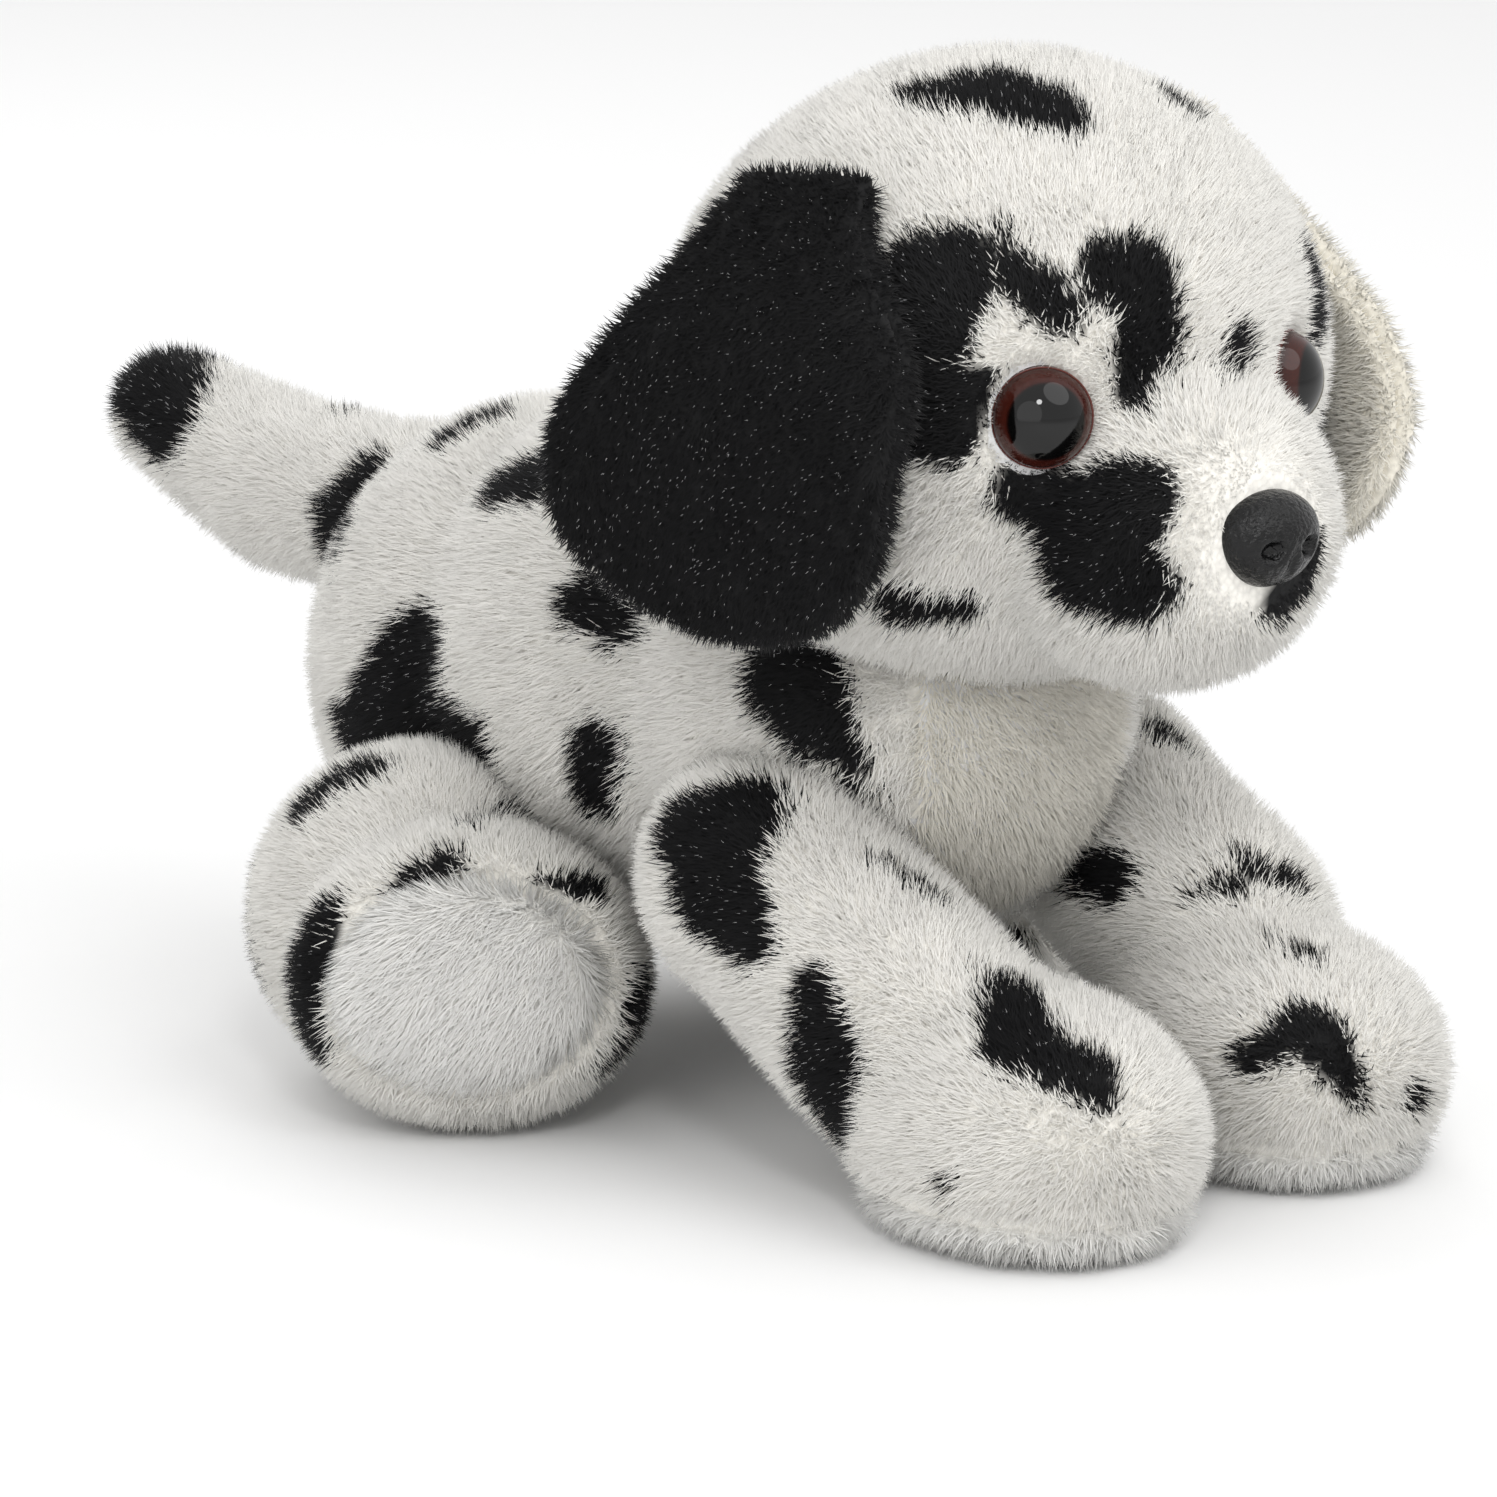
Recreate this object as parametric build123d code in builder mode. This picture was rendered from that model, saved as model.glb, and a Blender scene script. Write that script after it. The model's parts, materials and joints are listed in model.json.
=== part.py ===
"""A small plush puppy, lying with its front legs stretched forward and its hind feet turned out.

Frame: millimetres, +Z up, the floor at Z = 0. The puppy looks along -Y, its own right side is -X,
and the origin is on the floor, midway between the nose and the tip of the tail.

Every soft piece is given the shape of its fur's outline. A skin is one closed shell as thick as
the cloth with its pile, and its filling is a solid of its own inside that shell.
"""

import os
from math import asin, ceil, cos, hypot, radians, sin

from build123d import *

# ---------------------------------------------------------------------------
# Driving dimensions, in millimetres and degrees
# ---------------------------------------------------------------------------

cloth = 2.6              # plush cloth with its pile pressed flat
moving_gap = 0.5         # room between pieces that turn against each other
fitting_gap = 0.05       # room round the plastic shanks
bend_step = 0.3          # each next length of a limb starts this much thinner than the last one ended

# Head: a wide ball with a smaller ball for the muzzle
head_half_width = 33.5
head_half_length = 28.0
head_half_height = 29.0
head_forward = 15.5      # how far the head's middle stands in front of the neck's
neck_depth_in_head = 19.9
muzzle_half_width = 17.0
muzzle_half_length = 16.0
muzzle_half_height = 15.0
muzzle_inset = 5.5       # how far the muzzle's middle is behind the head's front
muzzle_drop = 11.1       # how far it is below the head's middle

# Neck: a ball at the front of the body, which the head and both shoulders are set out from
neck_y = -31.0
neck_z = 39.5
neck_radius = 24.0
neck_opening_angle = 33.0
neck_wad_thickness = 3.4

# Body
belly_y = -6.0
belly_half_width = 25.5
belly_half_length = 32.0
belly_half_height = 28.0
belly_floor_gap = 10.5
rump_y = 16.0
rump_half_width = 24.0
rump_half_length = 27.0
rump_half_height = 27.0
rump_floor_gap = 7.5
bean_half_width = 7.5
bean_half_length = 15.0
bean_half_height = 8.0
bib_half_width = 12.0
bib_bottom_z = 23.0

# Tail
tail_root_radius = 10.0
tail_base_radius = 9.3
tail_middle_radius = 9.3
tail_tip_radius = 7.2
tail_root_angle = 27.0   # height of the root on the rump
tail_root_inset = 2.0
tail_length_to_bend = 21.8
tail_length_after_bend = 21.2
tail_upturn = 13.0

# Front legs
shoulder_radius = 12.6
shoulder_proud = 0.75
upper_leg_radius = 11.9
elbow_forward = 16.5
elbow_drop = 9.0
elbow_radius = 12.4
lower_leg_radius = 12.2
wrist_back = 3.0         # behind the paw's middle
paw_half_width = 15.6
paw_half_length = 18.5
paw_half_height = 13.5
paw_press = 4.0          # how much of its height the floor presses flat
left_paw_x = 16.3
left_paw_y = -66.5
right_paw_x = -16.5
right_paw_y = -69.5
front_sole_half_length = 16.5
front_sole_half_width = 13.9

# Hind legs
haunch_radius = 17.0
haunch_proud = 3.5
haunch_y = 3.5
foot_half_width = 17.8
foot_half_length = 14.0
foot_half_height = 15.0
foot_out = 5.8           # from the haunch's middle, sideways
foot_forward = 15.0
foot_turn = 39.0         # toes outward
hind_sole_inset = 6.4
hind_sole_half_width = 14.4
hind_sole_half_height = 11.6

sole_depth = 4.2         # how far up round the foot's edge a sole reaches
floor_flat = 0.5         # how much of each ball is pressed flat by the floor

# Ears: two layers of cloth, sewn on along a short straight edge
ear_layer = 1.7
ear_turn = 21.7          # rear edge outward
ear_root_angle = 45.7    # height of the sewn edge on the head
ear_root_y = -1.9        # of the sewn edge's middle, from the head's middle
ear_root_half_length = 5.2
ear_width_rear = 18.6
ear_width_front = 19.7
ear_length = 40.5
ear_bulge = 1.2          # how much further out than it must be, beside the head's middle
ear_tuck = 2.3           # how far its lower edge comes back in

# Plastic eyes and nose, each on a shank with a lock washer
eye_radius = 4.5
eye_dome_height = 3.1
eye_plate = 1.0
eye_pupil_radius = 2.6
eye_pupil_height = 0.35
eye_angle = 27.7         # from straight ahead, seen from above
eye_turn = 32.0          # way the eye looks, from straight ahead
eye_inset = 3.3
nose_half_width = 5.0
nose_half_height = 4.1
nose_dome_height = 3.6
nose_inset = 3.0
nose_lift = 0.6
nostril_radius = 0.7
nostril_spacing = 4.2
shank_radius = 1.6
shank_length = 8.0
washer_radius = 5.0
washer_thickness = 1.0

# How far each piece turns from where it rests, as least and most
head_turn_travel = (-18.0, 18.0)
head_nod_travel = (-6.0, 8.0)
front_leg_travel = (-12.0, 24.0)
hind_leg_travel = (-8.0, 12.0)
tail_travel = (-20.0, 20.0)

# ---------------------------------------------------------------------------
# Places worked out from them
# ---------------------------------------------------------------------------

neck = Vector(0, neck_y, neck_z)
head = Vector(0, neck_y - head_forward, neck_z + neck_radius + head_half_height - neck_depth_in_head)
head_radii = (head_half_width, head_half_length, head_half_height)
muzzle = head + Vector(0, muzzle_inset - head_half_length, -muzzle_drop)
muzzle_radii = (muzzle_half_width, muzzle_half_length, muzzle_half_height)

belly = Vector(0, belly_y, belly_floor_gap + belly_half_height)
belly_radii = (belly_half_width, belly_half_length, belly_half_height)
rump = Vector(0, rump_y, rump_floor_gap + rump_half_height)
rump_radii = (rump_half_width, rump_half_length, rump_half_height)

tail_root = rump + Vector(
    0,
    (rump_half_length - tail_root_inset) * cos(radians(tail_root_angle)),
    (rump_half_height - tail_root_inset) * sin(radians(tail_root_angle)),
)
tail_bend = tail_root + Vector(0, tail_length_to_bend, 0)
tail_tip = tail_bend + Vector(
    0,
    tail_length_after_bend * cos(radians(tail_upturn)),
    tail_length_after_bend * sin(radians(tail_upturn)),
)

shoulder_direction = Vector(20.0, -7.5, -12.5).normalized()
shoulder = neck + shoulder_direction * (neck_radius + shoulder_proud)
elbow = Vector(shoulder.X, shoulder.Y - elbow_forward, shoulder.Z - elbow_drop)
paw_radii = (paw_half_width, paw_half_length, paw_half_height)
left_paw = Vector(left_paw_x, left_paw_y, paw_half_height - paw_press)
right_paw_mirrored = Vector(-right_paw_x, right_paw_y, paw_half_height - paw_press)

haunch = Vector(rump_half_width + haunch_proud, haunch_y, haunch_radius - floor_flat)
foot = Vector(haunch.X + foot_out, haunch.Y - foot_forward, foot_half_height - floor_flat)
foot_radii = (foot_half_width, foot_half_length, foot_half_height)


# ---------------------------------------------------------------------------
# Shapes that several pieces share
# ---------------------------------------------------------------------------


def inward(radii, depth):
    """The half sizes of a ball that lies this deep inside another."""
    return tuple(radius - depth for radius in radii)


def ball(centre, radius):
    """A round ball, with its poles to the front and the back and its seam underneath."""
    with BuildPart() as shape:
        with Locations(centre):
            Sphere(radius, rotation=(-90, 0, 90))
    return shape.part


def egg(centre, radii, turn=0.0):
    """A ball stretched along its own three axes, and turned about the vertical."""
    with BuildPart() as shape:
        Sphere(1, rotation=(-90, 0, 90))
        scale(by=radii)
    return shape.part.moved(Location(centre, (0, 0, turn)))


def limb(start, start_radius, end, end_radius):
    """Two balls and the cone that touches them both, turned in one piece."""
    direction = (end - start).normalized()
    length = (end - start).length
    lean = asin((start_radius - end_radius) / length)
    side = Plane(origin=start, x_dir=direction, z_dir=direction.cross(Vector(0, 0.3, 1)))
    with BuildPart() as shape:
        with BuildSketch(side):
            with BuildLine():
                near = (start_radius * sin(lean), start_radius * cos(lean))
                far = (length + end_radius * sin(lean), end_radius * cos(lean))
                back = radians(135) + lean / 2
                front = radians(45) - lean / 2
                ThreePointArc(
                    (-start_radius, 0),
                    (start_radius * cos(back), start_radius * sin(back)),
                    near,
                )
                Line(near, far)
                ThreePointArc(
                    far,
                    (length + end_radius * cos(front), end_radius * sin(front)),
                    (length + end_radius, 0),
                )
                Line((length + end_radius, 0), (-start_radius, 0))
            make_face()
        revolve(axis=Axis(start, direction))
    return shape.part


def above_floor(height):
    """A block that holds everything above a height."""
    with BuildPart(Plane.XY.offset(height)) as block:
        Box(400, 400, 200, align=(Align.CENTER, Align.CENTER, Align.MIN))
    return block.part


def joined(*shapes):
    """Several solids made one."""
    with BuildPart() as whole:
        for shape in shapes:
            add(shape)
    return whole.part


def export(part, label):
    """Name a finished piece and write it."""
    part.label = label
    export_step(part, f"parts/{label}.step")


os.makedirs("parts", exist_ok=True)

# ---------------------------------------------------------------------------
# Outlines of the body, the head, the legs and the tail, at any depth under the fur
# ---------------------------------------------------------------------------


def body_form(depth):
    """Neck ball, belly and rump."""
    return joined(
        ball(neck, neck_radius - depth),
        egg(belly, inward(belly_radii, depth)),
        egg(rump, inward(rump_radii, depth)),
    )


def head_form(depth):
    """Skull and muzzle."""
    return joined(egg(head, inward(head_radii, depth)), egg(muzzle, inward(muzzle_radii, depth)))


def tail_form(depth):
    """A stub that turns up a little towards its rounded end."""
    return joined(
        ball(tail_root, tail_root_radius - depth),
        limb(tail_root, tail_base_radius - depth, tail_bend, tail_middle_radius - depth),
        limb(tail_bend, tail_middle_radius - bend_step - depth, tail_tip, tail_tip_radius - depth),
    )


def front_leg_form(depth, paw):
    """A front leg on the left side: shoulder to elbow to a broad paw, pressed flat by the floor."""
    wrist = paw + Vector(0, wrist_back, 0)
    outline = joined(
        ball(shoulder, shoulder_radius - depth),
        limb(shoulder, upper_leg_radius - depth, elbow, elbow_radius - depth),
        limb(elbow, elbow_radius - bend_step - depth, wrist, lower_leg_radius - depth),
        egg(paw, inward(paw_radii, depth)),
    )
    with BuildPart() as leg:
        add(outline)
        add(above_floor(depth), mode=Mode.INTERSECT)
    return leg.part


def hind_leg_form(depth):
    """Left hind leg: haunch and turned-out foot, pressed flat by the floor."""
    outline = joined(
        ball(haunch, haunch_radius - depth),
        egg(foot, inward(foot_radii, depth), foot_turn),
    )
    with BuildPart() as leg:
        add(outline)
        add(above_floor(depth), mode=Mode.INTERSECT)
        split(bisect_by=hind_sole_plane.offset(-depth), keep=Keep.BOTTOM)
    return leg.part


hind_sole_normal = Vector(sin(radians(foot_turn)), -cos(radians(foot_turn)), 0.1).normalized()
hind_sole_plane = Plane(
    origin=foot + hind_sole_normal * (foot_half_length - hind_sole_inset),
    x_dir=(cos(radians(foot_turn)), sin(radians(foot_turn)), 0),
    z_dir=hind_sole_normal,
)


def front_sole_plane(paw):
    """The floor under a paw, with its normal down."""
    return Plane(origin=(paw.X, paw.Y, 0), x_dir=(0, 1, 0), z_dir=(0, 0, -1))


# ---------------------------------------------------------------------------
# Room that the moving pieces need in the body, over all their travel
# ---------------------------------------------------------------------------

largest_step = 9.0       # between the places at which a moving piece's room is cut


def steps(travel):
    """Evenly spaced angles from the least to the most."""
    count = ceil((travel[1] - travel[0]) / largest_step)
    return [travel[0] + (travel[1] - travel[0]) * step / count for step in range(count + 1)]


def over_travel(shape, hinge, travel):
    """Copies of a shape, turned about its hinge through its travel."""
    return [shape.rotate(hinge, angle) for angle in steps(travel)]


def both_sides(shapes):
    """Left shapes and their mirror images."""
    return shapes + [mirror(shape, about=Plane.YZ) for shape in shapes]


def carved(form, rooms):
    """A form with room made in it."""
    with BuildPart() as carving:
        add(form)
        for room in rooms:
            add(room, mode=Mode.SUBTRACT)
    return carving.part


neck_room = ball(neck, neck_radius + moving_gap)
head_nodded_back = egg(head, inward(head_radii, -moving_gap)).rotate(
    Axis(neck, (-1, 0, 0)), head_nod_travel[1]
)
nape_rooms = over_travel(head_nodded_back, Axis(neck, (0, 0, 1)), head_turn_travel)
front_leg_rooms = [ball(shoulder, shoulder_radius + moving_gap)] + over_travel(
    limb(shoulder, upper_leg_radius + moving_gap, elbow, elbow_radius + moving_gap),
    Axis(shoulder, (-1, 0, 0)),
    front_leg_travel,
)
hind_leg_rooms = [ball(haunch, haunch_radius + moving_gap)] + over_travel(
    egg(foot, inward(foot_radii, -moving_gap), foot_turn),
    Axis(haunch, (-1, 0, 0)),
    hind_leg_travel,
)
tail_rooms = [ball(tail_root, tail_root_radius + moving_gap)] + over_travel(
    limb(tail_root, tail_base_radius + moving_gap, tail_bend, tail_middle_radius + moving_gap),
    Axis(tail_root, (0, 0, 1)),
    tail_travel,
)
body_rooms = nape_rooms + both_sides(front_leg_rooms + hind_leg_rooms) + tail_rooms

# ---------------------------------------------------------------------------
# Body
# ---------------------------------------------------------------------------

# The wad of filling in the neck's opening is a cap, level with the neck ball, that turns on it.
neck_wad_inner = neck_radius - neck_wad_thickness
with BuildPart() as neck_cone:
    with BuildSketch(Plane.XZ.offset(-neck_y)):
        with BuildLine():
            top = neck_z + 2 * neck_radius
            half = 2 * neck_radius * sin(radians(neck_opening_angle)) / cos(radians(neck_opening_angle))
            Polyline((0, neck_z), (half, top), (0, top), (0, neck_z))
        make_face()
    revolve(axis=Axis((0, neck_y, 0), (0, 0, 1)))

with BuildPart() as neck_wad:
    add(ball(neck, neck_radius - moving_gap))
    add(ball(neck, neck_wad_inner), mode=Mode.SUBTRACT)
    add(neck_cone.part, mode=Mode.INTERSECT)
export(neck_wad.part, "neck_stuffing")

with BuildPart() as neck_wad_room:
    add(ball(neck, neck_radius + moving_gap))
    add(ball(neck, neck_wad_inner - moving_gap), mode=Mode.SUBTRACT)
    add(neck_cone.part.moved(Location((0, 0, -2 * moving_gap))), mode=Mode.INTERSECT)

bean_pouch_centre = Vector(0, belly_y, belly_floor_gap + cloth + bean_half_height + moving_gap)
with BuildPart() as bean_pouch:
    add(egg(bean_pouch_centre, (bean_half_width, bean_half_length, bean_half_height)))
export(bean_pouch.part, "bean_pouch")

body_outer = carved(body_form(0), body_rooms)
body_inner = carved(body_form(cloth), body_rooms)

with BuildPart() as body_stuffing:
    add(body_inner)
    add(neck_wad_room.part, mode=Mode.SUBTRACT)
    add(bean_pouch.part, mode=Mode.SUBTRACT)
export(body_stuffing.part, "body_stuffing")

# The bib runs from under the chin down between the front legs, with a rounded lower end.
bib_top_z = neck_z + neck_radius / 2
with BuildPart() as bib_prism:
    with BuildSketch(Plane.XZ.offset(-neck_y)):
        with BuildLine():
            low = (0, bib_bottom_z)
            widest = (bib_half_width, bib_bottom_z + bib_half_width)
            Line((0, bib_top_z), low)
            Line((0, bib_top_z), (bib_half_width, bib_top_z))
            Line((bib_half_width, bib_top_z), widest)
            RadiusArc(widest, low, bib_half_width)
        make_face()
        mirror(about=Plane.YZ)
    extrude(amount=2 * neck_radius)

with BuildPart() as body_wall:
    add(body_outer)
    add(body_inner, mode=Mode.SUBTRACT)
    add(neck_wad_room.part, mode=Mode.SUBTRACT)

with BuildPart() as body_skin:
    add(body_wall.part)
    add(bib_prism.part, mode=Mode.SUBTRACT)
export(body_skin.part, "body_skin")

with BuildPart() as chest_panel:
    add(body_wall.part)
    add(bib_prism.part, mode=Mode.INTERSECT)
export(chest_panel.part, "chest_panel")

# ---------------------------------------------------------------------------
# Tail
# ---------------------------------------------------------------------------

tail_inner = tail_form(cloth)
with BuildPart() as tail_skin:
    add(tail_form(0))
    add(tail_inner, mode=Mode.SUBTRACT)
export(tail_skin.part, "tail_skin")
with BuildPart() as tail_stuffing:
    add(tail_inner)
export(tail_stuffing.part, "tail_stuffing")

# ---------------------------------------------------------------------------
# Legs: all are made on the left side, and the right ones are mirror images
# ---------------------------------------------------------------------------


def export_side(part, label, side):
    """Write a piece made on the left side, or its mirror image."""
    export(part if side == "left" else mirror(part, about=Plane.YZ), f"{label}_{side}")


def export_pair(part, label):
    """Write a left piece and its mirror image."""
    export_side(part, label, "left")
    export_side(part, label, "right")


def make_leg(label, side, outline, filling, sole_plane, sole_half_sizes):
    """Write one leg: skin, sole and filling."""
    with BuildPart() as sole_prism:
        with BuildSketch(sole_plane.offset(-sole_depth)):
            Ellipse(*sole_half_sizes)
        extrude(amount=2 * sole_depth)

    with BuildPart() as skin:
        add(outline)
        add(sole_prism.part, mode=Mode.SUBTRACT)
        add(filling, mode=Mode.SUBTRACT)
    export_side(skin.part, f"{label}_skin", side)

    with BuildPart() as sole:
        add(outline)
        add(sole_prism.part, mode=Mode.INTERSECT)
        add(filling, mode=Mode.SUBTRACT)
    export_side(sole.part, f"{label}_sole", side)

    with BuildPart() as stuffing:
        add(filling)
    export_side(stuffing.part, f"{label}_stuffing", side)


for side, paw in (("left", left_paw), ("right", right_paw_mirrored)):
    make_leg(
        "front_leg",
        side,
        front_leg_form(0, paw),
        front_leg_form(cloth, paw),
        front_sole_plane(paw),
        (front_sole_half_length, front_sole_half_width),
    )
    make_leg(
        "hind_leg",
        side,
        hind_leg_form(0),
        hind_leg_form(cloth),
        hind_sole_plane,
        (hind_sole_half_width, hind_sole_half_height),
    )

# ---------------------------------------------------------------------------
# Eyes and nose
# ---------------------------------------------------------------------------

eye_direction = Vector(sin(radians(eye_angle)), -cos(radians(eye_angle)), 0)
eye_normal_to_fur = Vector(
    eye_direction.X / head_half_width,
    eye_direction.Y / head_half_length,
    0,
).normalized()
eye_seat = (
    head
    + Vector(head_half_width * eye_direction.X, head_half_length * eye_direction.Y, 0)
    - eye_normal_to_fur * eye_inset
)
eye_plane = Plane(
    origin=eye_seat,
    x_dir=(cos(radians(eye_turn)), sin(radians(eye_turn)), 0),
    z_dir=(sin(radians(eye_turn)), -cos(radians(eye_turn)), 0),
)
nose_plane = Plane(
    origin=muzzle + Vector(0, nose_inset - muzzle_half_length, nose_lift),
    x_dir=(1, 0, 0),
    z_dir=(0, -1, 0),
)


def bar(plane, radius, top, length):
    """A round bar that reaches from a height above a plane back through it."""
    with BuildPart() as rod:
        with BuildSketch(plane.offset(top)):
            Circle(radius)
        extrude(amount=-length)
    return rod.part


def lock_washer(plane):
    """The disc that is pressed on a shank, under the cloth."""
    with BuildPart() as washer:
        with BuildSketch(plane.offset(-cloth)):
            Circle(washer_radius)
            Circle(shank_radius, mode=Mode.SUBTRACT)
        extrude(amount=-washer_thickness)
    return washer.part


# Eye: a dark plate on a shank, a black pupil on the plate, and a clear dome over both
with BuildPart() as eye_iris:
    with BuildSketch(eye_plane):
        Circle(eye_radius)
    extrude(amount=eye_plate)
    add(bar(eye_plane, shank_radius, 0, shank_length))

with BuildPart() as eye_pupil:
    with BuildSketch(eye_plane.offset(eye_plate)):
        Circle(eye_pupil_radius)
    extrude(amount=eye_pupil_height)

dome_ball_radius = (eye_radius**2 + eye_dome_height**2) / (2 * eye_dome_height)
dome_middle = eye_seat + eye_plane.z_dir * (eye_plate + eye_dome_height - dome_ball_radius)
with BuildPart() as eye_lens:
    with BuildSketch(eye_plane.offset(eye_plate)):
        Circle(eye_radius)
    extrude(amount=eye_dome_height)
    add(ball(dome_middle, dome_ball_radius), mode=Mode.INTERSECT)
    add(eye_pupil.part, mode=Mode.SUBTRACT)

export_pair(eye_iris.part, "eye_iris")
export_pair(eye_pupil.part, "eye_pupil")
export_pair(eye_lens.part, "eye_lens")
export_pair(lock_washer(eye_plane), "eye_washer")

# Nose: an oval dome with two nostrils, on a shank of its own
with BuildPart() as nose:
    add(egg(nose_plane.origin, (nose_half_width, nose_dome_height, nose_half_height)))
    split(bisect_by=nose_plane, keep=Keep.TOP)
    with BuildSketch(nose_plane.offset(nose_dome_height)):
        with Locations((-nostril_spacing / 2, 0), (nostril_spacing / 2, 0)):
            Circle(nostril_radius)
    extrude(amount=-nose_dome_height / 2, mode=Mode.SUBTRACT)
    add(bar(nose_plane, shank_radius, 0, shank_length))
export(nose.part, "nose")
export(lock_washer(nose_plane), "nose_washer")

# ---------------------------------------------------------------------------
# Head
# ---------------------------------------------------------------------------

# Room in the cloth and its filling for the plates, the shanks and the washers
with BuildPart() as eye_room:
    add(bar(eye_plane, eye_radius + fitting_gap, head_half_length, head_half_length))
    add(bar(eye_plane, washer_radius + fitting_gap, -cloth, washer_thickness + fitting_gap))
    add(bar(eye_plane, shank_radius, 0, shank_length + fitting_gap))
    mirror(about=Plane.YZ)
with BuildPart() as nose_room:
    with BuildSketch(nose_plane):
        Ellipse(nose_half_width + fitting_gap, nose_half_height + fitting_gap)
    extrude(amount=muzzle_half_length)
    add(bar(nose_plane, washer_radius + fitting_gap, -cloth, washer_thickness + fitting_gap))
    add(bar(nose_plane, shank_radius, 0, shank_length + fitting_gap))

head_inner = head_form(cloth)
with BuildPart() as head_skin:
    add(head_form(0))
    add(head_inner, mode=Mode.SUBTRACT)
    add(neck_room, mode=Mode.SUBTRACT)
    add(eye_room.part, mode=Mode.SUBTRACT)
    add(nose_room.part, mode=Mode.SUBTRACT)
export(head_skin.part, "head_skin")

with BuildPart() as head_stuffing:
    add(head_inner)
    add(neck_room, mode=Mode.SUBTRACT)
    add(eye_room.part, mode=Mode.SUBTRACT)
    add(nose_room.part, mode=Mode.SUBTRACT)
export(head_stuffing.part, "head_stuffing")

# ---------------------------------------------------------------------------
# Ears
# ---------------------------------------------------------------------------

ear_out = Vector(cos(radians(ear_turn)), -sin(radians(ear_turn)), 0)
ear_back = Vector(sin(radians(ear_turn)), cos(radians(ear_turn)), 0)
ear_stand_off = ear_layer + 1.5 * moving_gap
root_normal = Vector(
    cos(radians(ear_root_angle)) / head_half_width,
    0,
    sin(radians(ear_root_angle)) / head_half_height,
).normalized()
ear_root = (
    head
    + Vector(
        head_half_width * cos(radians(ear_root_angle)),
        ear_root_y,
        head_half_height * sin(radians(ear_root_angle)),
    )
    + root_normal * ear_stand_off
)
# How far outward from the root the ear has to be where it passes the widest part of the head
head_reach = hypot(head_half_width * cos(radians(ear_turn)), head_half_length * sin(radians(ear_turn)))
ear_clear = head_reach - (ear_root - head).dot(ear_out) + ear_stand_off + ear_bulge
ear_arc = ThreePointArc(
    (0, 0),
    (ear_clear, head.Z - ear_root.Z),
    (ear_clear - ear_tuck, -ear_length),
)

with BuildPart() as ear_outline:
    with BuildSketch(Plane(origin=ear_root, x_dir=ear_back, z_dir=ear_out)):
        with BuildLine():
            front_top = (-ear_root_half_length, ear_layer)
            rear_top = (ear_root_half_length, ear_layer)
            Line(front_top, rear_top)
            Spline(
                rear_top,
                (0.82 * ear_width_rear, -0.33 * ear_length),
                (ear_width_rear, -0.58 * ear_length),
                (0.9 * ear_width_rear, -0.77 * ear_length),
                (0.5 * ear_width_rear, -0.93 * ear_length),
                (0, -ear_length),
                (-0.48 * ear_width_front, -0.97 * ear_length),
                (-0.88 * ear_width_front, -0.85 * ear_length),
                (-ear_width_front, -0.72 * ear_length),
                (-0.82 * ear_width_front, -0.48 * ear_length),
                front_top,
            )
        make_face()
    extrude(amount=2 * head_half_width, both=True)


def ear_cloth(side_of_middle):
    """One layer of the ear: the outer cloth or the lining, on its side of the ear's middle."""
    with BuildPart() as layer:
        with BuildSketch(Plane(origin=ear_root, x_dir=ear_out, z_dir=-ear_back)):
            SlotArc(ear_arc, 2 * ear_layer)
            with Locations(ear_arc.arc_center):
                Circle(ear_arc.radius, mode=side_of_middle)
        extrude(amount=ear_width_rear + ear_width_front, both=True)
        add(ear_outline.part, mode=Mode.INTERSECT)
    return layer.part


export_pair(ear_cloth(Mode.SUBTRACT), "ear_outer")
export_pair(ear_cloth(Mode.INTERSECT), "ear_lining")
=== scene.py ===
import json
import logging
import math
from dataclasses import dataclass, field
from enum import Enum
from typing import Callable, Optional

import bmesh
import bpy
import numpy as np
from mathutils import Matrix, Vector, noise


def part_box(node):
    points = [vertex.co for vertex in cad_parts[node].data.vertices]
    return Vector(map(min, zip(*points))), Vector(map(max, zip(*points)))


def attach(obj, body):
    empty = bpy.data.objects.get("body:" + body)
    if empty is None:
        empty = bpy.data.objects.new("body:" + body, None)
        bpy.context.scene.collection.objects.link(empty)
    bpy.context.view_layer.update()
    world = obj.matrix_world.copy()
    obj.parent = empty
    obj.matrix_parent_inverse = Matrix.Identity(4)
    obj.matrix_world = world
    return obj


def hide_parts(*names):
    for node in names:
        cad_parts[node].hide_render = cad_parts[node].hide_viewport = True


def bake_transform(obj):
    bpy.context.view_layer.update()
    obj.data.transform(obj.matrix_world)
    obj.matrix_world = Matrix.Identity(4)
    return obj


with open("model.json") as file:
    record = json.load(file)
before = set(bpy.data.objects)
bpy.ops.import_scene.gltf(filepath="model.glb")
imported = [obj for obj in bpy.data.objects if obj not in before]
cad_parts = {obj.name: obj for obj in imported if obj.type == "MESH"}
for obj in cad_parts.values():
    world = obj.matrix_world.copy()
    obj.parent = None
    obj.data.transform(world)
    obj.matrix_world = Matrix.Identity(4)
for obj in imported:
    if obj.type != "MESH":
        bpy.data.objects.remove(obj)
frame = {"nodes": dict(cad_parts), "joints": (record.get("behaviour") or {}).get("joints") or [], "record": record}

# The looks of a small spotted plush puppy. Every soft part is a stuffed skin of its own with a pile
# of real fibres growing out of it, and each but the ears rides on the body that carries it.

log = logging.getLogger("puppy")

MM = 0.001                    # metres in a millimetre
PILE_MAP = "OFBake"           # the fibres' own map: shade across, kind of fibre and height along it up
MAP_MARGIN = 0.2              # the share of each kind's strip that is left free above and below
COLOUR_ATTRIBUTE = "coat"     # a piece's own colour, point by point
NOISE_SEED = 5                # the same ragged edges and tufts every time

Chain = tuple[tuple[float, float, float, float], ...]     # x, y, z and radius in millimetres, in a row


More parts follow.
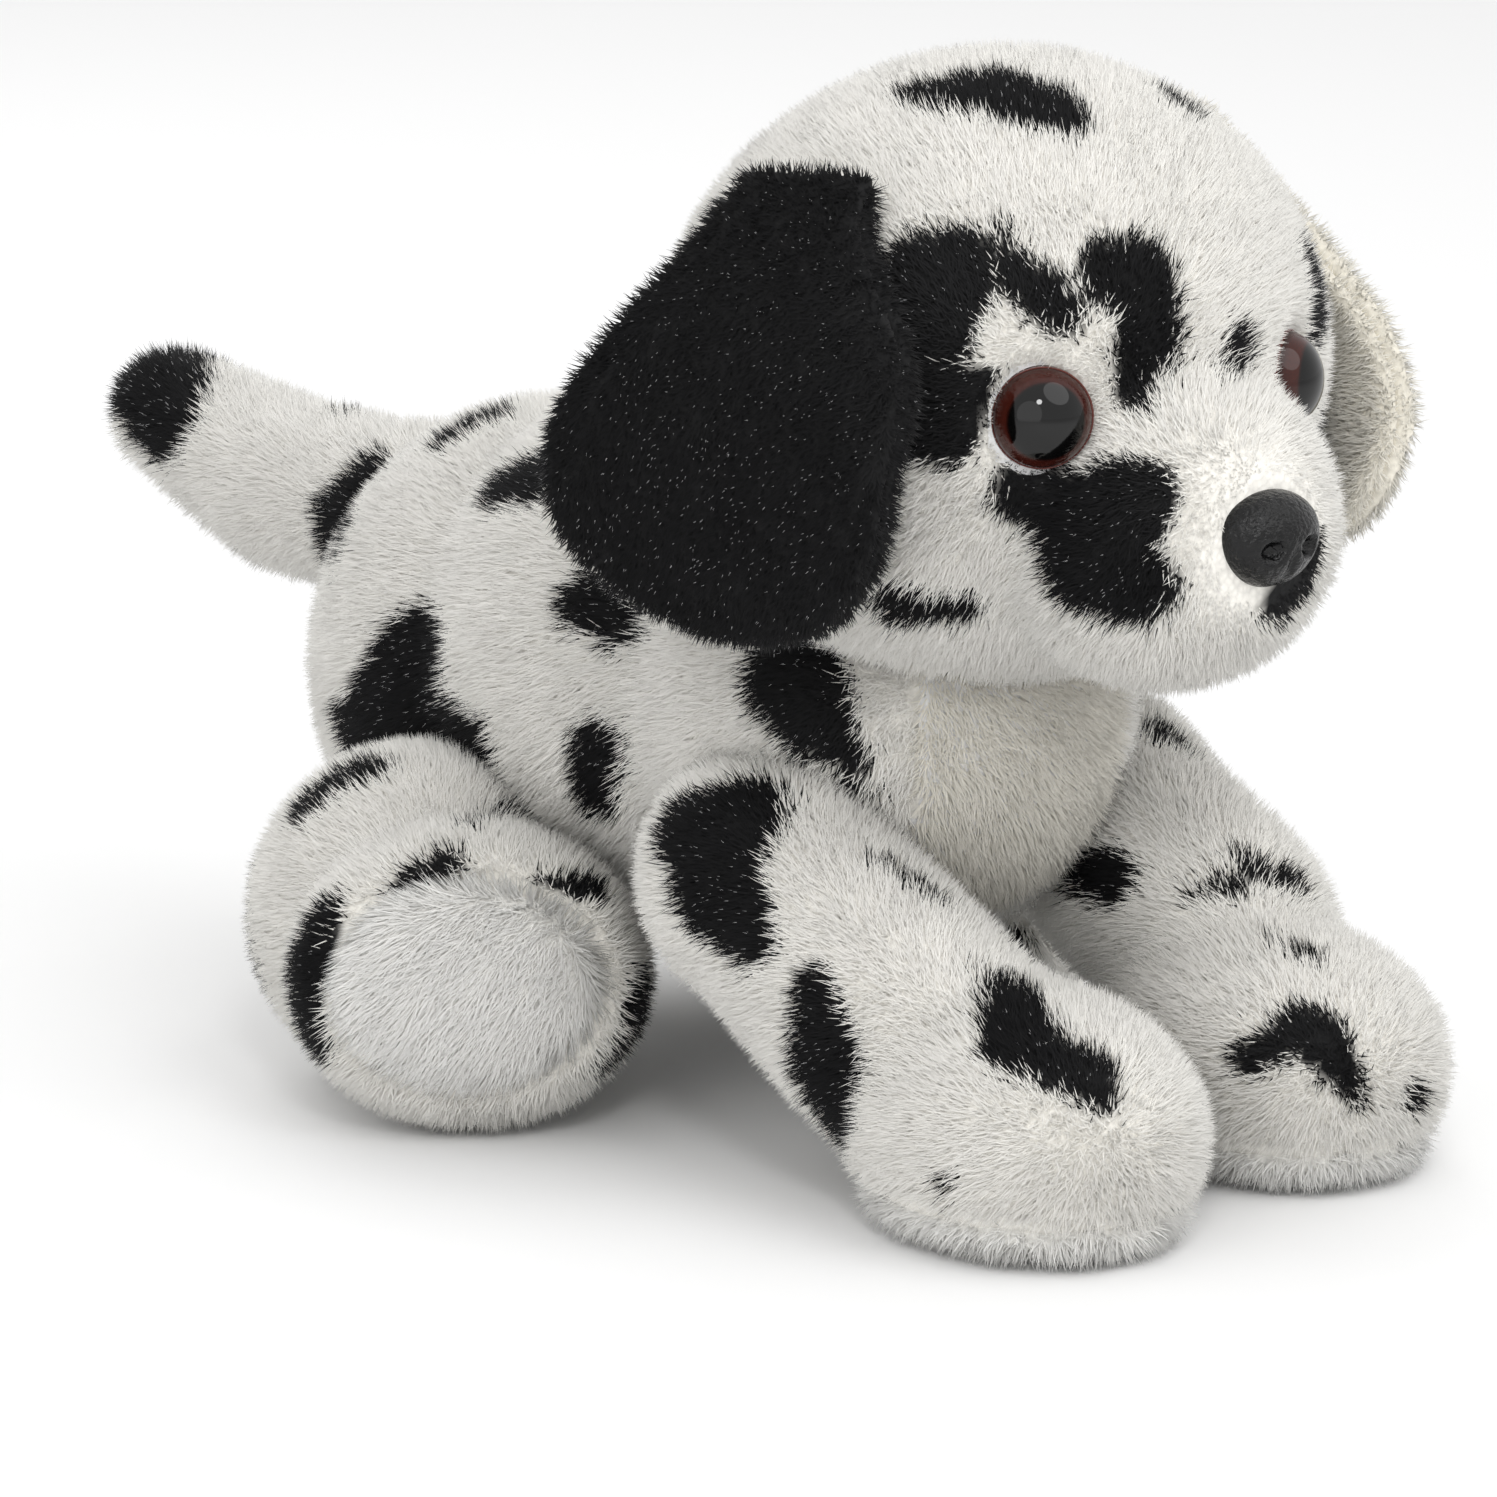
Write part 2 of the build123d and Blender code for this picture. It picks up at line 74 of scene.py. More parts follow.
class Side(Enum):
    """The puppy's own left and right."""

    LEFT = 1
    RIGHT = -1

    @property
    def word(self) -> str:
        """The name that ends a node's or a body's name."""
        return self.name.lower()


class Coat(Enum):
    """Kinds of fibre, in the order in which they lie up the fibres' map."""

    WHITE = 0
    BLACK = 1
    IVORY = 2
    FLEECE = 3


COAT_COLOURS = {                                  # at the root and at the tip of a fibre
    Coat.WHITE: ((0.93, 0.905, 0.845), (0.985, 0.97, 0.925)),
    Coat.BLACK: ((0.002, 0.002, 0.0025), (0.006, 0.006, 0.007)),
    Coat.IVORY: ((0.85, 0.81, 0.71), (0.955, 0.925, 0.84)),
    Coat.FLEECE: ((0.95, 0.935, 0.89), (0.99, 0.985, 0.96)),
}

PUPIL_COLOUR = (0.002, 0.002, 0.002)
RING_COLOUR = (0.042, 0.008, 0.005)

# ---------------------------------------------------------------------------
# Places in the frame
# ---------------------------------------------------------------------------


def joint_place(name: str) -> Vector:
    """Where a joint's hinge is.

    Args:
        name: The joint's name in the record.

    Returns:
        Its place in millimetres.
    """
    found = next(joint for joint in frame["joints"] if joint["name"] == name)
    return Vector(found["pos_m"]) / MM


def rest_place(name: str) -> Vector:
    """Where a part rests on the floor.

    Args:
        name: The mount's name in the record.

    Returns:
        Its place in millimetres.
    """
    found = next(mount for mount in frame["record"]["mounts"] if mount["name"] == name)
    return Vector(found["pos_m"]) / MM


def node_box(name: str) -> tuple[Vector, Vector]:
    """A CAD node's lowest and highest corners in millimetres."""
    low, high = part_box(name)
    return low / MM, high / MM


def between(low: float, high: float, value: np.ndarray) -> np.ndarray:
    """A smooth step from 0 at low to 1 at high."""
    share = np.clip((value - low) / (high - low), 0, 1)
    return share * share * (3 - 2 * share)


def smooth_share(low: float, high: float, value: float) -> float:
    """A smooth step from 0 at low to 1 at high, for one number."""
    return float(between(low, high, np.array(value)))


# ---------------------------------------------------------------------------
# Finishes
# ---------------------------------------------------------------------------


def new_material(name: str) -> tuple[bpy.types.Material, bpy.types.NodeTree, bpy.types.Node]:
    """An empty node material.

    Args:
        name: The material's name.

    Returns:
        The material, its node tree and its surface shader.
    """
    material = bpy.data.materials.new(name)
    material.use_nodes = True
    tree = material.node_tree
    return material, tree, tree.nodes["Principled BSDF"]


def ramp(tree: bpy.types.NodeTree, stops: list[tuple[float, tuple[float, float, float]]]) -> bpy.types.Node:
    """A colour ramp.

    Args:
        tree: The node tree it goes in.
        stops: Places from 0 to 1 and their colours.

    Returns:
        The node.
    """
    node = tree.nodes.new("ShaderNodeValToRGB")
    elements = node.color_ramp.elements
    while len(elements) < len(stops):
        elements.new(1.0)
    for element, (place, colour) in zip(elements, stops):
        element.position = place
        element.color = (*colour, 1)
    return node


def math_node(tree: bpy.types.NodeTree, operation: str, *values: object) -> bpy.types.NodeSocket:
    """A Math node fed with sockets or numbers.

    Args:
        tree: The node tree it goes in.
        operation: The Math node's operation.
        *values: A socket or a number for each input.

    Returns:
        Its output.
    """
    node = tree.nodes.new("ShaderNodeMath")
    node.operation = operation
    for socket, value in zip(node.inputs, values):
        if isinstance(value, bpy.types.NodeSocket):
            tree.links.new(value, socket)
        else:
            socket.default_value = value
    return node.outputs[0]


def mixed(tree: bpy.types.NodeTree, share: object, first: object, second: object) -> bpy.types.NodeSocket:
    """A colour between two colours.

    Args:
        tree: The node tree it goes in.
        share: How much of the second, as a socket or a number.
        first: A colour or a socket.
        second: A colour or a socket.

    Returns:
        The mixed colour's socket.
    """
    node = tree.nodes.new("ShaderNodeMix")
    node.data_type = "RGBA"
    factor = node.inputs["Factor"]
    ends = [socket for socket in node.inputs if socket.type == "RGBA"]
    for socket, value in zip((factor, *ends), (share, first, second)):
        if isinstance(value, bpy.types.NodeSocket):
            tree.links.new(value, socket)
        elif socket.type == "RGBA":
            socket.default_value = (*value, 1)
        else:
            socket.default_value = value
    return next(socket for socket in node.outputs if socket.type == "RGBA")


def pattern(tree: bpy.types.NodeTree, size: float, kind: str = "ShaderNodeTexNoise") -> bpy.types.Node:
    """A pattern that stands still in the piece's own space.

    Args:
        tree: The node tree it goes in.
        size: Millimetres across one grain of it.
        kind: The texture node's type.

    Returns:
        The texture node.
    """
    place = tree.nodes.new("ShaderNodeTexCoord")
    node = tree.nodes.new(kind)
    node.inputs["Scale"].default_value = 1 / (size * MM)
    tree.links.new(place.outputs["Object"], node.inputs["Vector"])
    return node


def relief(tree: bpy.types.NodeTree, height: bpy.types.NodeSocket, depth: float) -> None:
    """Raise a surface by a pattern, this many millimetres deep."""
    bump = tree.nodes.new("ShaderNodeBump")
    bump.inputs["Distance"].default_value = depth * MM
    tree.links.new(height, bump.inputs["Height"])
    tree.links.new(bump.outputs["Normal"], tree.nodes["Principled BSDF"].inputs["Normal"])


def shaded(tree: bpy.types.NodeTree, colour: bpy.types.NodeSocket, value: bpy.types.NodeSocket) -> None:
    """Give a surface a colour made lighter or darker by a value."""
    node = tree.nodes.new("ShaderNodeHueSaturation")
    tree.links.new(value, node.inputs["Value"])
    tree.links.new(colour, node.inputs["Color"])
    tree.links.new(node.outputs["Color"], tree.nodes["Principled BSDF"].inputs["Base Color"])


@dataclass(frozen=True)
class PileFinish:
    """Plush fibres, coloured by the map that each fibre carries."""

    name: str = "plush_fibres"
    roughness: float = 0.55
    specular: float = 0.18
    sheen: float = 0.04
    sparkle_share: float = 0.07        # of the black fibres, those whose tips get a painted glint: light grey where light would catch them
    sparkle_from: float = 0.8          # height along a fibre from which its painted glint starts
    # the colour of the painted glint on those tips
    sparkle_colour: tuple[float, float, float] = (0.62, 0.62, 0.63)
    shade_change: float = 0.04

    def make(self) -> bpy.types.Material:
        """Build the material."""
        material, tree, shader = new_material(self.name)
        uv = tree.nodes.new("ShaderNodeUVMap")
        uv.uv_map = PILE_MAP
        parts = tree.nodes.new("ShaderNodeSeparateXYZ")
        tree.links.new(uv.outputs["UV"], parts.inputs["Vector"])
        shade, height = parts.outputs["X"], parts.outputs["Y"]
        stops = []
        for coat, (root, tip) in COAT_COLOURS.items():
            stops.append((pile_height(coat, 0.0), root))
            stops.append((pile_height(coat, 1.0), tip))
        coat_ramp = ramp(tree, stops)
        tree.links.new(height, coat_ramp.inputs["Fac"])
        # painted highlight: the tips of a few black fibres are coloured light grey, as if they caught the light
        black_tip = math_node(
            tree,
            "MULTIPLY",
            math_node(tree, "GREATER_THAN", height, pile_height(Coat.BLACK, self.sparkle_from)),
            math_node(tree, "LESS_THAN", height, pile_height(Coat.BLACK, 1.1)),
        )
        bright = math_node(tree, "GREATER_THAN", shade, 1 - self.sparkle_share)
        sparkle = math_node(tree, "MULTIPLY", black_tip, bright)
        coloured = mixed(tree, sparkle, coat_ramp.outputs["Color"], self.sparkle_colour)
        change = math_node(tree, "MULTIPLY_ADD", shade, self.shade_change, 1 - self.shade_change)
        shaded(tree, coloured, change)
        shader.inputs["Roughness"].default_value = self.roughness
        shader.inputs["Sheen Weight"].default_value = self.sheen
        shader.inputs["Specular IOR Level"].default_value = self.specular
        return material


@dataclass(frozen=True)
class SkinFinish:
    """The knitted backing that the pile stands in, in the colour of the pile over it."""

    name: str = "plush_backing"
    knit: float = 0.6                  # millimetres across a knitted loop
    depth: float = 0.1                 # millimetres from the top of a loop down to the spaces between loops
    gaps: float = 0.25                 # how much darker the spaces between loops are painted, as painted shade

    def make(self) -> bpy.types.Material:
        """Build the material."""
        material, tree, shader = new_material(self.name)
        coat = tree.nodes.new("ShaderNodeAttribute")
        coat.attribute_name = COLOUR_ATTRIBUTE
        loops = pattern(tree, self.knit, "ShaderNodeTexVoronoi").outputs["Distance"]
        # painted shade: the spaces between the knitted loops are coloured darker
        shaded(tree, coat.outputs["Color"], math_node(tree, "MULTIPLY_ADD", loops, -self.gaps, 1.0))
        relief(tree, loops, self.depth)
        shader.inputs["Roughness"].default_value = 0.9
        return material


@dataclass(frozen=True)
class GlossFinish:
    """Polished moulded plastic with a fine grain."""

    name: str
    colour: tuple[float, float, float]
    grain_colour: tuple[float, float, float]
    grain: float = 0.4                 # millimetres across a grain
    grain_depth: float = 0.0           # millimetres
    roughness: float = 0.12
    specular: float = 0.35

    def make(self) -> bpy.types.Material:
        """Build the material."""
        material, tree, shader = new_material(self.name)
        grains = pattern(tree, self.grain).outputs["Fac"]
        colour = mixed(tree, grains, self.colour, self.grain_colour)
        tree.links.new(colour, shader.inputs["Base Color"])
        shader.inputs["Roughness"].default_value = self.roughness
        shader.inputs["Specular IOR Level"].default_value = self.specular
        if self.grain_depth:
            relief(tree, grains, self.grain_depth)
        return material


@dataclass(frozen=True)
class DomeFinish:
    """The polished dome of an eye, in the colours of the pupil and the plate under it."""

    name: str = "eye_dome_plastic"
    roughness: float = 0.04
    specular: float = 0.4
    fleck: float = 0.5                 # millimetres across a fleck in the plate's colour

    def make(self) -> bpy.types.Material:
        """Build the material."""
        material, tree, shader = new_material(self.name)
        tint = tree.nodes.new("ShaderNodeAttribute")
        tint.attribute_name = COLOUR_ATTRIBUTE
        flecks = pattern(tree, self.fleck).outputs["Fac"]
        shaded(tree, tint.outputs["Color"], math_node(tree, "MULTIPLY_ADD", flecks, 0.6, 0.7))
        shader.inputs["Roughness"].default_value = self.roughness
        shader.inputs["Specular IOR Level"].default_value = self.specular
        return material


@dataclass(frozen=True)
class FillingFinish:
    """Loose fibre, pellets or pouch cloth, hidden inside the puppy."""

    name: str
    colour: tuple[float, float, float]
    size: float                        # millimetres across a tuft or a thread
    darkest: float = 0.7               # the darkest tufts, as a share of the colour
    depth: float = 0.3                 # millimetres between tufts

    def make(self) -> bpy.types.Material:
        """Build the material."""
        material, tree, shader = new_material(self.name)
        tufts = pattern(tree, self.size).outputs["Fac"]
        darker = tuple(self.darkest * part for part in self.colour)
        tree.links.new(mixed(tree, tufts, darker, self.colour), shader.inputs["Base Color"])
        relief(tree, tufts, self.depth)
        shader.inputs["Roughness"].default_value = 0.9
        return material


# ---------------------------------------------------------------------------
# Stuffed forms
# ---------------------------------------------------------------------------


@dataclass
class Egg:
    """A ball stretched along three axes, in millimetres, turned about the vertical in degrees."""

    centre: Vector
    radii: tuple[float, float, float]
    turn: float = 0.0

    def matrix(self, inset: float = 0.0) -> Matrix:
        """The place and size of the egg, this far under its surface."""
        radii = [(radius - inset) * MM for radius in self.radii]
        place = Matrix.Translation(self.centre * MM) @ Matrix.Rotation(math.radians(self.turn), 4, "Z")
        return place @ Matrix.Diagonal((*radii, 1))

    def holds(self, points: np.ndarray, inset: float) -> np.ndarray:
        """Which points (in metres) lie inside the egg, this far under its surface."""
        back = np.array(self.matrix(inset).inverted())
        local = points @ back[:3, :3].T + back[:3, 3]
        return (local**2).sum(1) < 1


def ball(centre: Vector, radius: float) -> Egg:
    """A round ball."""
    return Egg(centre, (radius, radius, radius))


def limb(start: Vector, start_radius: float, end: Vector, end_radius: float, count: int = 9) -> list[Egg]:
    """A row of balls, close enough together to be a smooth limb once they are joined.

    Args:
        start: The first ball's middle.
        start_radius: Its radius.
        end: The last ball's middle.
        end_radius: Its radius.
        count: How many balls.

    Returns:
        The balls.
    """
    shares = [step / (count - 1) for step in range(count)]
    return [
        ball(start.lerp(end, share), start_radius + (end_radius - start_radius) * share)
        for share in shares
    ]


def unit(rows: np.ndarray) -> np.ndarray:
    """Vectors made one long, along the last axis."""
    return rows / np.maximum(np.linalg.norm(rows, axis=-1, keepdims=True), 1e-9)


def evaluated(piece: bpy.types.Object) -> None:
    """Apply a piece's modifiers to its mesh."""
    graph = bpy.context.evaluated_depsgraph_get()
    made = bpy.data.meshes.new_from_object(piece.evaluated_get(graph))
    old = piece.data
    piece.modifiers.clear()
    piece.data = made
    bpy.data.meshes.remove(old)


def new_piece(name: str, shape: bmesh.types.BMesh) -> bpy.types.Object:
    """Make an object of a bmesh, and free the bmesh."""
    mesh = bpy.data.meshes.new(name)
    shape.to_mesh(mesh)
    shape.free()
    piece = bpy.data.objects.new(name, mesh)
    bpy.context.scene.collection.objects.link(piece)
    return piece


def fused(piece: bpy.types.Object, voxel: float, smoothing: int) -> None:
    """Fuse overlapping closed forms into one even skin, and soften its creases.

    Args:
        piece: The object whose mesh is fused.
        voxel: The size of the new faces in millimetres.
        smoothing: How many rounds of smoothing.
    """
    remesh = piece.modifiers.new("fuse", "REMESH")
    remesh.mode = "VOXEL"
    remesh.voxel_size = voxel * MM
    remesh.use_smooth_shade = True
    evaluated(piece)
    softened(piece, smoothing)


def softened(piece: bpy.types.Object, rounds: int) -> None:
    """Even out a piece's creases."""
    smooth = piece.modifiers.new("soften", "SMOOTH")
    smooth.factor = 0.5
    smooth.iterations = rounds
    evaluated(piece)


def points_of(piece: bpy.types.Object) -> np.ndarray:
    """A piece's vertices in metres, one row each."""
    flat = np.zeros(len(piece.data.vertices) * 3, np.float32)
    piece.data.vertices.foreach_get("co", flat)
    return flat.reshape(-1, 3).astype(float)


def move_points(piece: bpy.types.Object, points: np.ndarray) -> None:
    """Give a piece's vertices new places."""
    piece.data.vertices.foreach_set("co", points.astype(np.float32).ravel())
    piece.data.update()


def normals_of(piece: bpy.types.Object) -> np.ndarray:
    """A piece's vertex normals, one row each."""
    flat = np.zeros(len(piece.data.vertices) * 3, np.float32)
    piece.data.vertex_normals.foreach_get("vector", flat)
    return flat.reshape(-1, 3).astype(float)


@dataclass(frozen=True)
class Stuffing:
    """How a skin is blown up from inside by its filling."""

    pressure: float = 4.0
    frames: int = 20
    enlarge: float = 10.0              # the simulation runs at ten times the puppy's size
    most: float = 0.7                  # millimetres that a point may move

    def fill(self, piece: bpy.types.Object) -> None:
        """Blow the skin up and keep the result.

        Args:
            piece: A closed skin.
        """
        before = points_of(piece)
        move_points(piece, before * self.enlarge)
        cloth = piece.modifiers.new("filling", "CLOTH")
        cloth.settings.use_pressure = True
        cloth.settings.uniform_pressure_force = self.pressure
        cloth.settings.effector_weights.gravity = 0
        cloth.settings.quality = 3
        cloth.collision_settings.use_collision = False
        cloth.settings.tension_stiffness = 15
        cloth.settings.compression_stiffness = 15
        cloth.settings.bending_stiffness = 0.5
        for number in range(1, self.frames + 1):
            bpy.context.scene.frame_set(number)
        evaluated(piece)
        bpy.context.scene.frame_set(1)
        moved = points_of(piece) / self.enlarge - before
        length = np.linalg.norm(moved, axis=1, keepdims=True)
        limit = self.most * MM
        move_points(piece, before + moved * (limit * np.tanh(length / limit) / np.maximum(length, 1e-9)))


# ---------------------------------------------------------------------------
# Skins and the pile on them
# ---------------------------------------------------------------------------


def chain_distance(points: np.ndarray, chain: Chain) -> np.ndarray:
    """How far points are outside a spot, which is a row of balls joined up.

    Args:
        points: Places in millimetres.
        chain: The spot's balls.

    Returns:
        Distances in millimetres, negative inside the spot.
    """
    best = np.full(len(points), 1e9)
    ends = list(zip(chain, chain[1:])) or [(chain[0], chain[0])]
    for first, second in ends:
        start, along = np.array(first[:3]), np.array(second[:3]) - np.array(first[:3])
        share = np.clip((points - start) @ along / max(along @ along, 1e-9), 0, 1)
        nearest = start + share[:, None] * along
        radius = first[3] + (second[3] - first[3]) * share
        best = np.minimum(best, np.linalg.norm(points - nearest, axis=1) - radius)
    return best


@dataclass
class Skin:
    """A stuffed skin and what its pile needs to know at each of its points."""

    piece: bpy.types.Object
    body: str
    slot: str
    plain: Optional[Coat] = None       # one kind of fibre all over, or spots where this is None
    spots: dict[str, Chain] = field(default_factory=dict)
    outline: float = 1.7               # millimetres from the skin out to the pile's outline
    raggedness: float = 1.3            # millimetres that a spot's edge wanders
    wander: float = 5.5                # millimetres from one wander to the next
    pile: Optional[np.ndarray] = None  # share of the full fibre length at each point
    sewn_to: Optional[str] = None      # the body it is sewn to, if not its own; such a skin rides on no body
    bend: tuple[Vector, Vector] = (Vector(), Vector())        # two places, from and to, in mm

    def carry(self, piece: bpy.types.Object) -> None:
        """Make a piece follow the skin's body, or, where the skin is sewn to another, leave it on no body."""
        if self.sewn_to is None:
            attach(piece, self.body)
        else:
            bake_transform(piece)

    def __post_init__(self) -> None:
        """Measure the skin and colour it."""
        self.points = points_of(self.piece)
        self.normals = normals_of(self.piece)
        if self.pile is None:
            self.pile = np.ones(len(self.points))
        self.outside_spots = self.spot_distances()
        self.colour()

    def spot_distances(self) -> np.ndarray:
        """How far each point is outside the nearest spot, in millimetres."""
        places = self.points / MM + self.outline * self.normals
        drift = np.array([noise.noise_vector(Vector(place) / self.wander) for place in places])
        places = places + self.raggedness * drift
        nearest = np.full(len(places), 1e3)
        for chain in self.spots.values():
            nearest = np.minimum(nearest, chain_distance(places, chain))
        return nearest

    def colour(self) -> None:
        """Store the skin's colour at each point."""
        light = np.array(COAT_COLOURS[self.plain or Coat.WHITE][0])
        dark = np.array(COAT_COLOURS[Coat.BLACK][0])
        share = between(-0.5, 0.5, self.outside_spots)[:, None]
        if self.plain is not None:
            share = np.ones_like(share)
        colours = np.concatenate([dark + (light - dark) * share, np.ones_like(share)], axis=1)
        layer = self.piece.data.color_attributes.new(COLOUR_ATTRIBUTE, "FLOAT_COLOR", "POINT")
        layer.data.foreach_set("color", colours.astype(np.float32).ravel())

    def clip(self, inside: list[Egg], inset: float) -> None:
        """Grow nothing where the skin lies inside another part.

        Args:
            inside: The other part's forms.
            inset: How deep a point has to be, in millimetres.
        """
        for egg in inside:
            self.pile[egg.holds(self.points, inset)] = 0

    def shorten(self, place: Vector, bare: float, full: float, least: float = 0.3) -> None:
        """Shear the pile round a place.

        Args:
            place: The middle, in millimetres.
            bare: Nothing grows nearer than this.
            full: The pile is uncut from here on.
            least: Its share of the full length beside the bare place.
        """
        away = np.linalg.norm(self.points / MM - np.array(place), axis=1)
        share = least + (1 - least) * between(bare, full, away)
        self.pile *= np.where(away < bare, 0, share)


def pile_height(coat: Coat, along: float) -> float:
    """Where a fibre's point lies up the map, from its kind and its height along the fibre."""
    return (coat.value + MAP_MARGIN + (1 - 2 * MAP_MARGIN) * along) / len(Coat)


@dataclass(frozen=True)
class Pile:
    """A pile of fibres, each a slim three-sided spike."""

    length: float = 2.3                # millimetres
    width: float = 0.1                 # radius at the root, in millimetres
    density: float = 15.0              # fibres on a square millimetre
    lift: float = 1.0                  # how upright, against how far it is combed
    comb: float = 0.55
    spread: float = 0.24
    tuft: float = 0.35                 # how much neighbours lean the same way
    tuft_size: float = 4.0             # millimetres
    edge: float = 0.55                 # millimetres that a spot's edge is mixed over
    floor: float = 0.15                # nothing is lower than this, in millimetres
    rooted: float = 0.2                # millimetres of each fibre that stand in the skin
    roundness: float = 0.28            # how much a fibre is shaded as a round thing of its own
    most: int = 66000                  # fibres in one piece

    def grow(
        self,
        skin: Skin,
        name: str,
        flow: Callable[[np.ndarray], np.ndarray],
        finish: bpy.types.Material,
        seed: int,
    ) -> list[bpy.types.Object]:
        """Cover a skin with fibres.

        Args:
            skin: The skin.
            name: What the fibre pieces' names start with.
            flow: The way the pile is combed at places in millimetres.
            finish: The fibres' material.
            seed: Starts the random draws.

        Returns:
            The pieces made.
        """
        rng = np.random.default_rng(seed)
        density = self.density * 1.0
        width = self.width * 1.0
        faces, share = self.scatter(skin, rng, density)
        corners = skin.points[faces]
        roots = (corners * share[:, :, None]).sum(1)
        normals = unit((skin.normals[faces] * share[:, :, None]).sum(1))
        pile = (skin.pile[faces] * share).sum(1)
        outside = (skin.outside_spots[faces] * share).sum(1)
        combed = self.comb_skin(skin, flow)
        lean = (combed[faces] * share[:, :, None]).sum(1)
        lean -= normals * (lean * normals).sum(1, keepdims=True)
        stray = self.spread * rng.normal(size=roots.shape)
        direction = unit(self.lift * normals + self.comb * lean + stray)
        length = self.length * pile * rng.uniform(0.7, 1.15, len(roots)) * MM
        shade = rng.uniform(0.02, 0.98, len(roots))
        if skin.plain is None:
            black = outside + rng.normal(0, self.edge, len(roots)) < 0
            kind = np.where(black, Coat.BLACK.value, Coat.WHITE.value)
        else:
            kind = np.full(len(roots), skin.plain.value)
        pieces = []
        count = math.ceil(len(roots) / self.most)
        for number in range(count):
            part = slice(number, None, count)
            label = f"{name}_{number + 1}" if count > 1 else name
            piece = self.spikes(
                label, roots[part], normals[part], direction[part], length[part], width * MM,
                shade[part], kind[part], rng,
            )
            piece.data.materials.append(finish)
            skin.carry(piece)
            pieces.append(piece)
        log.info("%s: %d fibres in %d pieces", name, len(roots), count)
        return pieces

    def scatter(
        self, skin: Skin, rng: np.random.Generator, density: float
    ) -> tuple[np.ndarray, np.ndarray]:
        """Draw even random places on a skin.

        Args:
            skin: The skin.
            rng: The random generator.
            density: Fibres on a square millimetre.

        Returns:
            Each place's triangle as three vertex numbers, and its shares of the three vertices.
        """
        mesh = skin.piece.data
        mesh.calc_loop_triangles()
        flat = np.zeros(len(mesh.loop_triangles) * 3, np.int32)
        mesh.loop_triangles.foreach_get("vertices", flat)
        triangles = flat.reshape(-1, 3)
        corners = skin.points[triangles] / MM
        across = np.cross(corners[:, 1] - corners[:, 0], corners[:, 2] - corners[:, 0])
        area = np.linalg.norm(across, axis=1) / 2
        weights = area * (skin.pile[triangles].min(1) > 0.02)
        total = int(weights.sum() * density)
        chosen = np.searchsorted(np.cumsum(weights) / weights.sum(), rng.random(total))
        chosen = np.minimum(chosen, len(triangles) - 1)
        first, second = rng.random(total), rng.random(total)
        over = first + second > 1
        first[over], second[over] = 1 - first[over], 1 - second[over]
        share = np.stack([1 - first - second, first, second], axis=1)
        return triangles[chosen], share

    def comb_skin(self, skin: Skin, flow: Callable[[np.ndarray], np.ndarray]) -> np.ndarray:
        """The way the pile leans at each point of a skin: combed, and gathered in soft tufts."""
        places = skin.points / MM
        combed = flow(places)
        tufts = np.array([noise.noise_vector(Vector(place) / self.tuft_size) for place in places])
        fine = np.array([noise.noise_vector(Vector(place) / (self.tuft_size / 3)) for place in places])
        return combed + (self.tuft * tufts + 0.6 * self.tuft * fine) / max(self.comb, 0.1)

    def spikes(
        self,
        name: str,
        roots: np.ndarray,
        normals: np.ndarray,
        direction: np.ndarray,
        length: np.ndarray,
        width: float,
        shade: np.ndarray,
        kind: np.ndarray,
        rng: np.random.Generator,
    ) -> bpy.types.Object:
        """Copy one spike to every root.

        Args:
            name: The piece's name.
            roots: Where the fibres start, in metres.
            normals: The skin's normal at each.
            direction: The way each points.
            length: The length of each in metres.
            width: The radius at the root in metres.
            shade: Each fibre's place across the map.
            kind: Each fibre's kind.
            rng: The random generator.

        Returns:
            The piece.
        """
        spike, sides = spike_pattern()
        count, corners = len(roots), len(spike)
        turn = rng.normal(size=roots.shape)
        first = unit(np.cross(direction, turn))
        second = np.cross(direction, first)
        radial = spike[None, :, 0, None] * first[:, None] + spike[None, :, 1, None] * second[:, None]
        start = roots - normals * self.rooted * MM
        points = start[:, None] + radial * width
        points += direction[:, None] * (spike[None, :, 2] * length[:, None])[:, :, None]
        points[:, :, 2] = np.maximum(points[:, :, 2], self.floor * MM)
        shading = unit(normals[:, None] + self.roundness * radial)
        mesh = bpy.data.meshes.new(name)
        mesh.vertices.add(count * corners)
        mesh.vertices.foreach_set("co", points.astype(np.float32).ravel())
        loops = (sides[None] + corners * np.arange(count)[:, None, None]).astype(np.int32)
        mesh.loops.add(loops.size)
        mesh.loops.foreach_set("vertex_index", loops.ravel())
        mesh.polygons.add(count * len(sides))
        mesh.polygons.foreach_set("loop_start", np.arange(0, loops.size, 3, dtype=np.int32))
        across = np.repeat(shade, sides.size)
        height = (kind[:, None] + MAP_MARGIN + (1 - 2 * MAP_MARGIN) * spike[None, :, 2]) / len(Coat)
        up = height[:, sides.ravel()].ravel()
        layer = mesh.uv_layers.new(name=PILE_MAP)
        layer.data.foreach_set("uv", np.stack([across, up], axis=1).astype(np.float32).ravel())
        mesh.update(calc_edges=True)
        mesh.normals_split_custom_set_from_vertices(shading.reshape(-1, 3).astype(np.float32))
        piece = bpy.data.objects.new(name, mesh)
        bpy.context.scene.collection.objects.link(piece)
        return piece


def spike_pattern() -> tuple[np.ndarray, np.ndarray]:
    """One spike, a unit high and a unit in radius, without the foot that its skin hides.

    Returns:
        Its points, and the three point numbers of each side.
    """
    shape = bmesh.new()
    bmesh.ops.create_cone(
        shape, cap_ends=False, segments=3, radius1=1, radius2=0, depth=1,
        matrix=Matrix.Translation((0, 0, 0.5)),
    )
    bmesh.ops.remove_doubles(shape, verts=shape.verts, dist=1e-5)
    bmesh.ops.triangulate(shape, faces=shape.faces)
    points = np.array([vertex.co for vertex in shape.verts], float)
    sides = np.array([[vertex.index for vertex in face.verts] for face in shape.faces], int)
    shape.free()
    return points, sides


